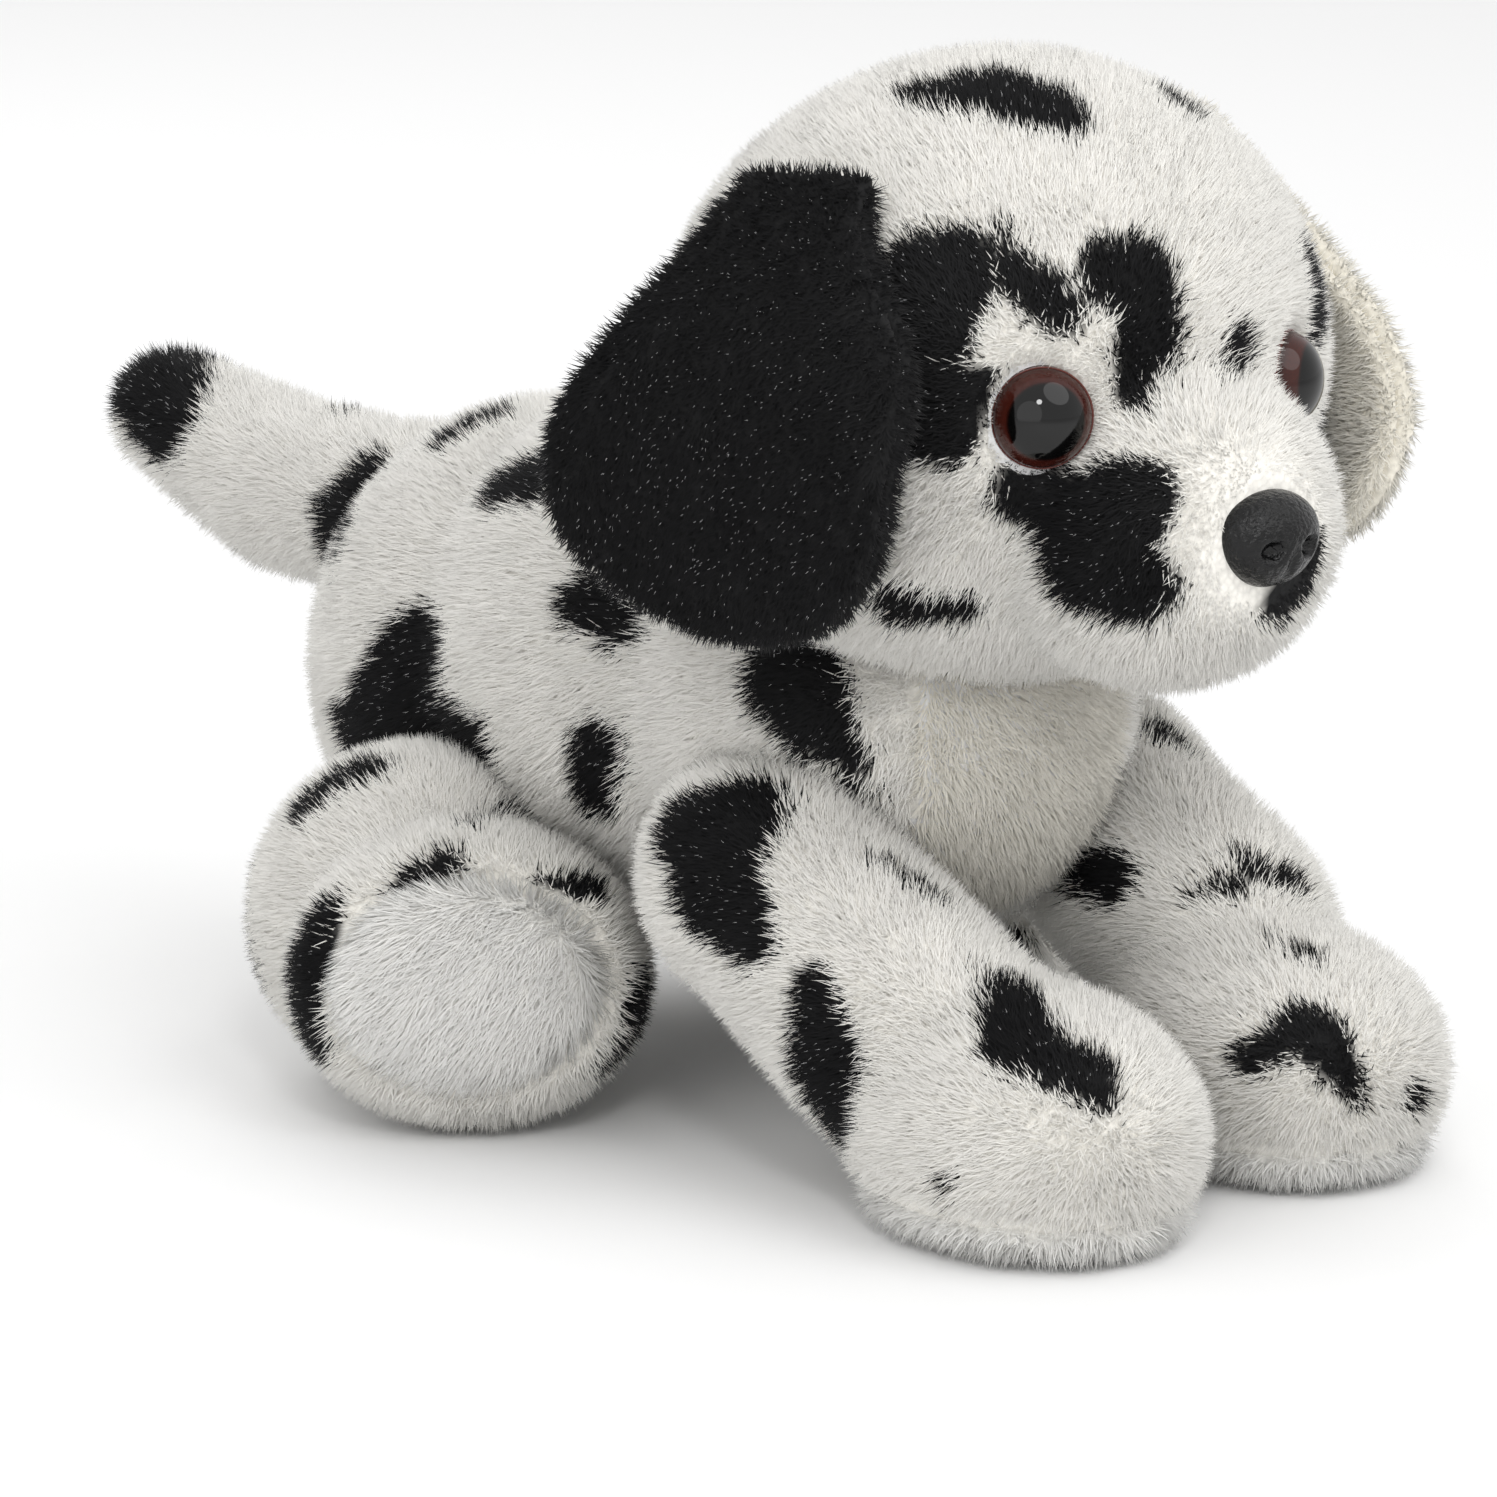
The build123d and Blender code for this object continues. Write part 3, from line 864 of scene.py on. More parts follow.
def combed_along(*way: float) -> Callable[[np.ndarray], np.ndarray]:
    """A pile combed the same way all over."""
    direction = np.array(way, float) / np.linalg.norm(way)
    return lambda places: np.tile(direction, (len(places), 1))


def combed_from(place: Vector, down: float) -> Callable[[np.ndarray], np.ndarray]:
    """A pile combed away from a place, and a little downwards.

    Args:
        place: Where the pile starts, in millimetres.
        down: How much it falls.

    Returns:
        The way the pile is combed, as a function of places.
    """

    def flow(places: np.ndarray) -> np.ndarray:
        """The way at each place."""
        away = unit(places - np.array(place))
        away[:, 2] -= down
        return unit(away)

    return flow


# ---------------------------------------------------------------------------
# The puppy's parts
# ---------------------------------------------------------------------------


@dataclass
class Workshop:
    """What every part is made with."""

    fibres: bpy.types.Material
    backing: bpy.types.Material
    stuffing: Stuffing = field(default_factory=Stuffing)
    inset: float = 1.7                 # millimetres from the pile's outline down to the skin
    voxel: float = 1.15
    smoothing: int = 8
    trim_smoothing: int = 2            # rounds of smoothing after a skin is pressed flat somewhere

    def skin_of(
        self,
        name: str,
        forms: list[Egg],
        trim: Optional[Callable[[np.ndarray], np.ndarray]] = None,
        inset: Optional[float] = None,
    ) -> bpy.types.Object:
        """Sew one closed skin round several forms.

        Args:
            name: The piece's name.
            forms: The outlines of the pile.
            trim: Moves the skin's points, in millimetres, before the skin is filled.
            inset: How far under the outlines the skin lies, if not as usual.

        Returns:
            The skin.
        """
        depth = self.inset if inset is None else inset
        shape = bmesh.new()
        for form in forms:
            bmesh.ops.create_icosphere(shape, subdivisions=4, radius=1, matrix=form.matrix(depth))
        piece = new_piece(name, shape)
        fused(piece, self.voxel, self.smoothing)
        if trim:
            move_points(piece, trim(points_of(piece) / MM) * MM)
            softened(piece, self.trim_smoothing)
        self.stuffing.fill(piece)
        piece.data.materials.append(self.backing)
        return piece

    def finish_skin(self, skin: Skin, fill: float, *nodes: str) -> None:
        """Make a skin ride on its body, and hide the CAD nodes that it stands for.

        Args:
            skin: The skin.
            fill: How tightly it is stuffed, from 0 to 1; not used.
            *nodes: The CAD nodes that it stands for.
        """
        skin.carry(skin.piece)
        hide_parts(*nodes)
        log.info("%s: %d points", skin.piece.name, len(skin.points))


def floor_trim(height: float) -> Callable[[np.ndarray], np.ndarray]:
    """Press everything lower than a height flat."""

    def trim(places: np.ndarray) -> np.ndarray:
        """Lift what is too low."""
        places = places.copy()
        places[:, 2] = np.maximum(places[:, 2], height)
        return places

    return trim


def seat_trim(
    places: np.ndarray, middle: Vector, facing: Vector, radius: float, wall: float = 2.4
) -> np.ndarray:
    """Press a round seat into a skin.

    Args:
        places: The skin's points in millimetres.
        middle: The middle of the seat's bottom.
        facing: The way out of the seat.
        radius: The radius of its bottom.
        wall: How far its wall leans out.

    Returns:
        The moved points.
    """
    out = np.array(facing.normalized())
    local = places - np.array(middle)
    height = local @ out
    aside = np.linalg.norm(local - height[:, None] * out, axis=1)
    share = 1 - between(radius, radius + wall, aside)
    sunk = -np.maximum(height, 0) * share * (height < 2 * radius)
    return places + sunk[:, None] * out


@dataclass
class Head:
    """Skull, muzzle, eyes' seats and nose's seat."""

    shop: Workshop
    skull_radii: tuple[float, float, float] = (33.5, 28.0, 29.0)
    muzzle_radii: tuple[float, float, float] = (17.0, 16.0, 15.0)
    from_neck: Vector = field(default_factory=lambda: Vector((0, -15.5, 33.1)))
    muzzle_from_head: Vector = field(default_factory=lambda: Vector((0, -22.5, -11.1)))
    pile: Pile = field(default_factory=lambda: Pile(length=2.2, comb=0.6))
    spots: dict[str, Chain] = field(default_factory=lambda: {
        "crown": ((-12.0, -50.0, 99.5, 2.4), (-7.0, -55.0, 99.5, 4.6), (-4.5, -59.5, 98.0, 4.2)),
        "crown_left": ((13.0, -57.0, 97.0, 2.8),),
        "temple_left": ((22.0, -65.5, 82.0, 3.0), (22.5, -67.0, 78.0, 3.0)),
        "brow_right": ((-25.0, -62.5, 83.0, 5.2), (-20.5, -64.5, 86.0, 4.4), (-24.0, -64.5, 80.5, 3.8)),
        "spike": ((-16.0, -65.5, 89.5, 0.8), (-15.5, -68.5, 85.0, 2.6), (-13.5, -70.5, 82.0, 2.4)),
        "stop": ((-8.0, -71.5, 84.5, 3.4), (-4.5, -72.0, 83.5, 4.4), (-5.5, -73.5, 79.0, 3.6),
                 (-8.0, -74.0, 75.5, 1.8)),
        "behind_eye": ((-24.5, -65.5, 71.5, 4.0), (-22.0, -67.0, 74.0, 3.8), (-25.0, -65.0, 75.5, 3.0)),
        "cheek": ((-16.0, -71.5, 66.0, 4.4), (-12.5, -77.5, 66.0, 4.6), (-15.0, -75.5, 61.5, 6.4),
                  (-12.5, -78.5, 58.0, 4.2), (-16.5, -73.0, 58.0, 2.4)),
        "jaw": ((-21.5, -58.5, 54.0, 3.2), (-18.0, -61.5, 53.5, 2.2)),
        "eye_left": ((1.5, -74.5, 75.5, 1.2), (5.0, -73.5, 77.0, 2.4)),
        "lip": ((4.5, -84.5, 62.5, 1.8), (5.5, -84.0, 59.5, 2.8), (2.5, -83.0, 55.5, 2.6)),
        "cheek_left": ((24.0, -63.0, 63.0, 5.0), (28.0, -57.0, 66.0, 3.6)),
        "nape": ((-3.0, -20.0, 80.0, 4.8), (-8.0, -20.0, 74.0, 3.6)),
        "nape_left": ((17.0, -26.0, 88.0, 5.0), (21.0, -26.0, 82.0, 3.4)),
        "behind_ear": ((-26.0, -31.0, 70.0, 4.6), (-28.0, -33.0, 64.0, 3.0)),
        "top_rear": ((6.0, -38.0, 99.0, 4.0), (2.0, -34.0, 97.0, 2.8)),
    })

    def __post_init__(self) -> None:
        """Place the head's forms."""
        self.middle = joint_place("head_nod") + self.from_neck
        self.muzzle = self.middle + self.muzzle_from_head
        self.forms = [Egg(self.middle, self.skull_radii), Egg(self.muzzle, self.muzzle_radii)]
        self.eyes = [Eye(side) for side in Side]
        self.nose = Nose()

    def build(self, neighbours: list[Egg]) -> None:
        """Make the head.

        Args:
            neighbours: Forms that hide part of the head.
        """

        def trim(places: np.ndarray) -> np.ndarray:
            """Press the seats of the eyes and the nose into the skin."""
            for eye in self.eyes:
                places = seat_trim(places, eye.seat - 0.4 * eye.facing, eye.facing, eye.radius - 0.2, 1.6)
            return seat_trim(places, self.nose.seat, self.nose.facing, self.nose.radius)

        piece = self.shop.skin_of("head_plush", self.forms, trim)
        skin = Skin(piece, "head", "spotted_plush", spots=self.spots)
        skin.clip(neighbours, 3.0)
        for eye in self.eyes:
            skin.shorten(eye.seat + 1.5 * eye.facing, eye.radius - 0.4, eye.radius + 4, 0.45)
        skin.shorten(self.nose.seat, self.nose.radius + 0.3, self.nose.radius + 7, 0.35)
        self.shop.finish_skin(skin, 0.9, "head_skin")
        flow = combed_from(self.muzzle + Vector((0, -12, 6)), 0.1)
        self.pile.grow(skin, "head_fur", flow, self.shop.fibres, seed=11)
        for eye in self.eyes:
            eye.build()
        self.nose.build()


@dataclass
class Eye:
    """A plastic eye: a dark red-brown plate, a black pupil and a clear dome."""

    side: Side
    segments: int = 96
    pupil: float = 0.72                # the pupil's radius as a share of the dome's
    pupil_edge: float = 0.07           # how wide the pupil's soft edge is, as such a share
    rim_shade: float = 0.6             # how much of the ring's colour goes towards the rim
    tuck: float = 0.08                 # how much of the dome's height is cut off below

    def __post_init__(self) -> None:
        """Find the eye's seat in the frame."""
        pupil = frame["nodes"][f"eye_pupil_{self.side.word}"]
        points = points_of(pupil) / MM
        middle = points.mean(0)
        _, _, axes = np.linalg.svd(points - middle)
        facing = Vector(axes[2])
        self.facing = facing if facing.y < 0 else -facing
        plate = points_of(frame["nodes"][f"eye_iris_{self.side.word}"]) / MM
        heights = (plate - middle) @ np.array(self.facing)
        front = plate[heights > heights.max() - 0.01]
        self.radius = float(np.linalg.norm(front - front.mean(0), axis=1).max())
        self.seat = Vector(front.mean(0)) - self.facing

    def build(self) -> None:
        """Mould the dome over the pupil and the plate, and tint it as they show through it."""
        word = self.side.word
        lens = points_of(frame["nodes"][f"eye_lens_{word}"]) / MM
        height = float(((lens - np.array(self.seat)) @ np.array(self.facing)).max())
        shape = bmesh.new()
        bmesh.ops.create_uvsphere(
            shape, u_segments=self.segments, v_segments=self.segments, radius=1,
            matrix=Matrix.Diagonal((self.radius, self.radius, height, 1)),
        )
        below = (0, 0, self.tuck * height)
        bmesh.ops.bisect_plane(
            shape, geom=shape.verts[:] + shape.edges[:] + shape.faces[:], plane_co=below,
            plane_no=(0, 0, 1), clear_inner=True,
        )
        bmesh.ops.holes_fill(shape, edges=shape.edges, sides=0)
        tint = shape.verts.layers.float_color.new(COLOUR_ATTRIBUTE)
        for vertex in shape.verts:
            aside = vertex.co.xy.length / self.radius
            rim = 1 - self.rim_shade * smooth_share(0.9, 1, aside)
            ring = rim * smooth_share(self.pupil, self.pupil + self.pupil_edge, aside)
            vertex[tint] = (*Vector(PUPIL_COLOUR).lerp(Vector(RING_COLOUR), ring), 1)
        turn = self.facing.to_track_quat("Z", "Y").to_matrix().to_4x4()
        place = Matrix.Translation(self.seat * MM) @ turn @ Matrix.Scale(MM, 4)
        bmesh.ops.transform(shape, matrix=place, verts=shape.verts)
        for face in shape.faces:
            face.smooth = True
        piece = new_piece(f"eye_dome_{word}", shape)
        piece.data.materials.append(DomeFinish().make())
        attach(piece, "head")
        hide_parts(f"eye_lens_{word}")
        log.info("eye_dome_%s: %.1f mm across", word, 2 * self.radius)


@dataclass
class Nose:
    """A moulded nose with two nostrils and a groove below."""

    segments: int = 64
    nostril_aside: float = 2.05
    nostril_drop: float = 0.5
    nostril_radius: float = 0.85
    nostril_depth: float = 1.3
    groove_depth: float = 0.45

    def __post_init__(self) -> None:
        """Find the nose in the frame."""
        low, high = node_box("nose")
        self.radius = (high.x - low.x) / 2
        self.half_height = (high.z - low.z) / 2
        self.depth = 4.0
        self.facing = Vector((0, -1, 0))
        self.front = Vector(((low.x + high.x) / 2, low.y, (low.z + high.z) / 2))
        self.seat = self.front + Vector((0, self.depth, 0))

    def build(self) -> None:
        """Mould the nose."""
        shape = bmesh.new()
        bmesh.ops.create_uvsphere(
            shape, u_segments=self.segments, v_segments=self.segments // 2, radius=1,
            matrix=Matrix.Rotation(math.radians(90), 4, "X"),
        )
        for vertex in shape.verts:
            x, y, z = vertex.co
            widen = 1.06 + 0.14 * z
            vertex.co = (x * self.radius * widen, y * self.depth, z * self.half_height * 1.05)
        bmesh.ops.translate(shape, verts=shape.verts, vec=self.seat)
        for vertex in shape.verts:
            if vertex.co.y > self.seat.y - 0.5:
                continue
            x, z = vertex.co.x - self.seat.x, vertex.co.z - self.seat.z
            for side in Side:
                away = math.hypot((x - side.value * self.nostril_aside) / 1.15, z + self.nostril_drop)
                vertex.co.y += self.nostril_depth * math.exp(-((away / self.nostril_radius) ** 4))
            if z < 0:
                vertex.co.y += self.groove_depth * math.exp(-((x / 0.45) ** 2)) * min(1, -z / 1.5)
        bmesh.ops.scale(shape, verts=shape.verts, vec=(MM, MM, MM))
        for face in shape.faces:
            face.smooth = True
        piece = new_piece("nose_moulding", shape)
        finish = GlossFinish(
            "nose_plastic", (0.002, 0.002, 0.0025), (0.006, 0.006, 0.006),
            grain=0.5, grain_depth=0.25, roughness=0.22, specular=0.3,
        )
        piece.data.materials.append(finish.make())
        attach(piece, "head")
        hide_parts("nose")
        log.info("nose_moulding: %.1f mm wide", 2 * self.radius)


@dataclass
class Ear:
    """A flap of two layers of cloth, sewn together round the edge."""

    shop: Workshop
    side: Side
    coat: Coat
    slot: str
    skull: Egg
    voxel: float = 0.8
    drop_top: float = 3.5              # millimetres that the sewn edge sits under the pattern's
    drop_tip: float = 1.9
    narrowing: float = 0.1             # share of its width that the lower half loses in front
    supple: float = 17.0               # millimetres below the sewn edge, for the lower place that the skin keeps as its bend
    tuck: float = 3.0                  # millimetres that the left ear's lower half is pressed in
    pile: Pile = field(default_factory=lambda: Pile(length=1.7, comb=0.5, width=0.1))

    @property
    def sweep(self) -> tuple[float, float]:
        """How far back the tip and the top are drawn, in millimetres: the ears are sewn on unevenly."""
        return (0.5, -5.2) if self.side is Side.RIGHT else (1.0, 10.0)

    def hang(self, places: np.ndarray) -> np.ndarray:
        """Draw the ear's pattern down and back or forward, as close to the skull as it was.

        Args:
            places: Points of the pattern in millimetres.

        Returns:
            The moved points.
        """
        low, high = node_box(f"ear_outer_{self.side.word}")
        share = (places[:, 2] - low.z) / (high.z - low.z)
        radii, middle = np.array(self.skull.radii), np.array(self.skull.centre)
        away = (((places - middle) / radii) ** 2).sum(1)
        tip, top = self.sweep
        moved = places.copy()
        low_down = between(0.75, 0.35, share)
        moved[:, 1] -= self.narrowing * low_down * (places[:, 1] - high.y)
        moved[:, 1] += tip + (top - tip) * between(0.1, 0.85, share)
        moved[:, 2] -= self.drop_tip + (self.drop_top - self.drop_tip) * share
        aside = away - (((moved - middle) / radii)[:, 1:] ** 2).sum(1)
        close = aside > 0.2
        moved[close, 0] = self.side.value * radii[0] * np.sqrt(aside[close])
        if self.side is Side.LEFT:
            moved[:, 0] -= self.tuck * between(0.55, 0.15, share)
        return moved

    def build(self) -> None:
        """Make both layers."""
        sewn = joint_place(f"ear_flap_{self.side.word}") - Vector((0, 0, self.drop_top))
        for number, layer in enumerate(("outer", "lining")):
            node = f"ear_{layer}_{self.side.word}"
            shape = bmesh.new()
            shape.from_mesh(frame["nodes"][node].data)
            bmesh.ops.remove_doubles(shape, verts=shape.verts, dist=0.01 * MM)
            piece = new_piece(f"ear_{layer}_plush_{self.side.word}", shape)
            fused(piece, self.voxel, 3)
            move_points(piece, self.hang(points_of(piece) / MM) * MM)
            outward = normals_of(piece) @ self.out_of_head()
            facing = outward if layer == "outer" else -outward
            Stuffing(most=0.35).fill(piece)
            piece.data.materials.append(self.shop.backing)
            skin = Skin(
                piece, f"ear_{self.side.word}", self.slot, plain=self.coat, sewn_to="head",
                bend=(sewn, sewn - Vector((0, 0, self.supple))),
            )
            skin.pile = between(-0.75, -0.2, facing)
            self.shop.finish_skin(skin, 0.3, node)
            self.pile.grow(
                skin, f"ear_{layer}_fur_{self.side.word}", combed_along(0, 0.25, -1),
                self.shop.fibres, seed=21 + 2 * number + self.side.value,
            )

    def out_of_head(self) -> np.ndarray:
        """The way that the ear's outer side faces."""
        hinge = joint_place(f"ear_flap_{self.side.word}")
        low, high = node_box(f"ear_outer_{self.side.word}")
        return np.array((math.copysign(1, (low.x + high.x) / 2 - hinge.x), 0, 0))


@dataclass
class Torso:
    """Neck, belly and rump, with an ivory bib on the chest."""

    shop: Workshop
    neck_radius: float = 24.0
    belly_from_neck: Vector = field(default_factory=lambda: Vector((0, 25.0, -1.0)))
    belly_radii: tuple[float, float, float] = (25.5, 32.0, 28.0)
    rump_from_neck: Vector = field(default_factory=lambda: Vector((0, 47.0, -5.0)))
    rump_radii: tuple[float, float, float] = (24.0, 27.0, 27.0)
    bib_proud: float = 0.35
    bib_thickness: float = 1.0
    pile: Pile = field(default_factory=lambda: Pile(length=2.5, comb=0.6))
    spots: dict[str, Chain] = field(default_factory=lambda: {
        "back": ((-9.5, 22.0, 58.5, 2.2), (-6.0, 19.5, 61.0, 2.8)),
        "saddle": ((-17.5, 5.5, 57.0, 2.8), (-17.5, -2.5, 58.5, 3.4)),
        "side": ((-23.0, -15.0, 49.0, 2.8), (-21.5, -19.0, 48.0, 3.2)),
        "flank": ((-24.0, -18.5, 35.5, 3.2), (-23.0, -17.0, 31.0, 3.0)),
        "neck_side": ((-20.5, -42.0, 46.0, 4.8), (-20.0, -44.5, 42.0, 4.2), (-18.0, -47.5, 39.0, 2.2)),
        "stripe": ((-18.0, -47.0, 37.0, 1.4), (-15.5, -51.0, 33.5, 1.0)),
        "rump": ((-23.0, 10.0, 41.0, 4.6), (-23.5, 12.0, 34.0, 7.0), (-23.5, 19.5, 30.0, 4.6)),
        "rump_front": ((-23.5, 4.0, 35.0, 3.4), (-24.0, -2.0, 33.0, 2.6)),
        "tail_root": ((-16.5, 28.0, 46.5, 2.0), (-14.0, 33.0, 50.0, 2.4)),
        "flank_left": ((23.5, -14.0, 40.0, 5.0), (24.0, -9.0, 35.0, 3.4)),
        "saddle_left": ((15.0, 2.0, 60.0, 4.6), (18.0, 7.0, 56.0, 3.0)),
        "rump_left": ((21.0, 18.0, 42.0, 6.0), (23.0, 12.0, 36.0, 4.4)),
        "neck_left": ((21.0, -36.0, 50.0, 4.4), (22.0, -38.0, 44.0, 3.0)),
        "back_middle": ((3.0, -10.0, 66.0, 4.0), (0.0, -5.0, 66.0, 2.6)),
        "seat": ((-9.0, 37.0, 28.0, 4.6), (-13.0, 34.0, 24.0, 3.0)),
        "seat_left": ((11.0, 38.0, 33.0, 4.2), (13.0, 34.0, 22.0, 3.2)),
        "belly": ((6.0, -4.0, 12.0, 4.0),),
    })

    def __post_init__(self) -> None:
        """Place the torso's forms."""
        neck = joint_place("head_turn")
        self.forms = [
            ball(neck, self.neck_radius),
            Egg(neck + self.belly_from_neck, self.belly_radii),
            Egg(neck + self.rump_from_neck, self.rump_radii),
        ]

    def build(self, neighbours: list[Egg]) -> None:
        """Make the torso and its bib.

        Args:
            neighbours: Forms that hide part of the torso.
        """
        piece = self.shop.skin_of("body_plush", self.forms)
        skin = Skin(piece, "torso", "spotted_plush", spots=self.spots)
        skin.clip(neighbours, 3.0)
        under_bib = self.on_bib(skin.points / MM, skin.normals)
        bib = self.cut_bib(piece, under_bib)
        bib_skin = Skin(bib, "torso", "ivory_plush", plain=Coat.IVORY)
        bib_skin.clip(neighbours, 3.0)
        bib_skin.pile *= between(-0.3, 0.1, bib_skin.normals @ np.array((0, -1, 0)))
        skin.pile[under_bib > 0.4] = 0
        self.shop.finish_skin(skin, 0.85, "body_skin")
        self.shop.finish_skin(bib_skin, 0.3, "chest_panel")
        self.pile.grow(skin, "body_fur", combed_along(0, 0.8, -0.6), self.shop.fibres, seed=31)
        self.pile.grow(bib_skin, "bib_fur", combed_along(0, 0, -1), self.shop.fibres, seed=37)

    def on_bib(self, places: np.ndarray, normals: np.ndarray) -> np.ndarray:
        """How far inside the bib's outline each place is, in millimetres."""
        low, high = node_box("chest_panel")
        half, bottom = (high.x - low.x) / 2, low.z
        aside = np.abs(places[:, 0])
        round_end = half - np.hypot(aside, np.minimum(places[:, 2] - (bottom + half), 0))
        in_front = joint_place("head_turn").y - places[:, 1]
        facing = np.where(normals[:, 1] < 0.2, half, -half)
        return np.minimum(np.minimum(round_end, in_front), facing)

    def cut_bib(self, source: bpy.types.Object, inside: np.ndarray) -> bpy.types.Object:
        """Cut the bib's layer to lie on the torso's skin.

        Args:
            source: The torso's skin.
            inside: How far inside the bib each of its points is.

        Returns:
            The bib.
        """
        shape = bmesh.new()
        shape.from_mesh(source.data)
        shape.verts.ensure_lookup_table()
        outside = [shape.verts[number] for number in np.flatnonzero(inside <= 0)]
        bmesh.ops.delete(shape, geom=outside, context="VERTS")
        shape.normal_update()
        lifted = [(vertex, vertex.co + vertex.normal * self.bib_proud * MM) for vertex in shape.verts]
        for vertex, place in lifted:
            vertex.co = place
        piece = new_piece("bib_plush", shape)
        piece.data.attributes.remove(piece.data.attributes[COLOUR_ATTRIBUTE])
        wall = piece.modifiers.new("wall", "SOLIDIFY")
        wall.thickness = self.bib_thickness * MM
        wall.offset = -1
        evaluated(piece)
        return piece


@dataclass
class FrontLeg:
    """A front leg, from the shoulder to a broad paw with a fleece sole."""

    shop: Workshop
    side: Side
    shoulder_radius: float = 12.6
    upper_radius: float = 11.9
    elbow_from_shoulder: Vector = field(default_factory=lambda: Vector((0, -16.5, -9.0)))
    elbow_radius: float = 12.4
    lower_radius: float = 12.2
    wrist_back: float = 3.0
    paw_radii: tuple[float, float, float] = (15.6, 18.5, 13.5)
    paw_middle_height: float = 9.5
    sole_radii: tuple[float, float, float] = (13.9, 16.6, 3.2)
    sole_height: float = 3.4
    pile: Pile = field(default_factory=lambda: Pile(length=2.2, comb=0.6))
    fleece: Pile = field(default_factory=lambda: Pile(length=2.4, comb=0.3, tuft=0.6, tuft_size=2.5))

    def __post_init__(self) -> None:
        """Place the leg's forms."""
        shoulder = joint_place(f"front_leg_lift_{self.side.word}")
        elbow = shoulder + self.elbow_from_shoulder
        self.rest = rest_place(f"front_sole_{self.side.word}_rest")
        paw = self.rest + Vector((0, 0, self.paw_middle_height))
        wrist = paw + Vector((0, self.wrist_back, 0))
        self.paw = paw
        self.forms = [
            ball(shoulder, self.shoulder_radius),
            *limb(shoulder, self.upper_radius, elbow, self.elbow_radius),
            *limb(elbow, self.elbow_radius, wrist, self.lower_radius),
            Egg(paw, self.paw_radii),
        ]

    def spots(self) -> dict[str, Chain]:
        """The leg's spots, which differ from side to side."""
        if self.side is Side.RIGHT:
            return {
                "shoulder": ((-31.0, -38.5, 34.0, 4.6), (-27.0, -44.0, 36.0, 4.2),
                             (-32.0, -43.5, 29.5, 5.6), (-31.5, -48.0, 26.0, 3.6)),
                "outer": ((-31.5, -57.5, 21.5, 2.8), (-31.5, -59.0, 16.0, 4.0), (-30.0, -57.0, 9.0, 3.0)),
                "top": ((-18.5, -70.0, 23.5, 2.4), (-23.0, -76.5, 20.5, 4.0), (-20.0, -83.0, 17.5, 2.6)),
                "stripe": ((-20.5, -54.5, 32.5, 0.9), (-17.0, -60.0, 29.0, 0.9)),
                "toe": ((-31.5, -75.0, 7.5, 0.9),),
                "inner": ((-7.5, -50.0, 22.0, 3.4), (-8.0, -56.0, 18.0, 2.4)),
                "heel": ((-24.0, -54.0, 8.0, 3.0),),
            }
        return {
            "shoulder": ((21.0, -47.5, 36.5, 1.8), (22.5, -48.5, 35.0, 1.8)),
            "inner": ((7.5, -47.5, 23.0, 1.8), (9.0, -52.5, 25.0, 2.6)),
            "knee": ((11.5, -61.0, 25.0, 1.3), (15.0, -63.5, 25.5, 1.6)),
            "outer_knee": ((17.5, -62.0, 28.0, 1.4), (21.5, -65.5, 25.0, 2.0)),
            "thin": ((13.5, -69.5, 22.5, 0.9), (14.5, -74.5, 21.5, 1.0)),
            "paw": ((4.5, -76.5, 14.0, 2.0), (8.0, -78.5, 17.0, 2.4), (9.5, -81.5, 15.0, 3.0),
                    (11.5, -83.5, 11.0, 1.6)),
            "toe": ((11.5, -84.0, 9.0, 0.9),),
            "outer_toe": ((18.5, -84.5, 8.5, 1.8),),
            "outer": ((31.0, -47.0, 26.0, 4.6), (32.0, -53.0, 20.0, 3.6)),
            "outer_paw": ((30.5, -68.0, 14.0, 3.6), (29.0, -60.0, 10.0, 2.4)),
        }

    def build(self, neighbours: list[Egg]) -> None:
        """Make the leg and its sole.

        Args:
            neighbours: Forms that hide part of the leg.
        """
        word = self.side.word
        body = f"front_leg_{word}"
        piece = self.shop.skin_of(f"front_leg_plush_{word}", self.forms, floor_trim(0.6))
        skin = Skin(piece, body, "spotted_plush", spots=self.spots())
        skin.clip(neighbours, 3.0)
        sole_form = Egg(self.rest + Vector((0, 0, self.sole_height)), self.sole_radii)
        skin.clip([sole_form], 0.0)
        skin.pile[skin.points[:, 2] < 2.0 * MM] = 0
        self.shop.finish_skin(skin, 0.8, f"front_leg_skin_{word}")
        self.pile.grow(
            skin, f"front_leg_fur_{word}", combed_along(0, 1, -0.3), self.shop.fibres,
            seed=43 + self.side.value,
        )
        sole = self.shop.skin_of(f"front_sole_fleece_{word}", [sole_form], floor_trim(0.3), inset=0.6)
        sole_skin = Skin(sole, body, "sole_fleece", plain=Coat.FLEECE)
        sole_skin.pile = between(0.25 * MM, 0.9 * MM, sole_skin.points[:, 2])
        sole_skin.clip([Egg(self.paw, self.paw_radii)], 2.2)
        self.shop.finish_skin(sole_skin, 0.7, f"front_leg_sole_{word}")
        self.fleece.grow(
            sole_skin, f"front_sole_fur_{word}", combed_along(0, 0.2, -1), self.shop.fibres,
            seed=53 + self.side.value,
        )


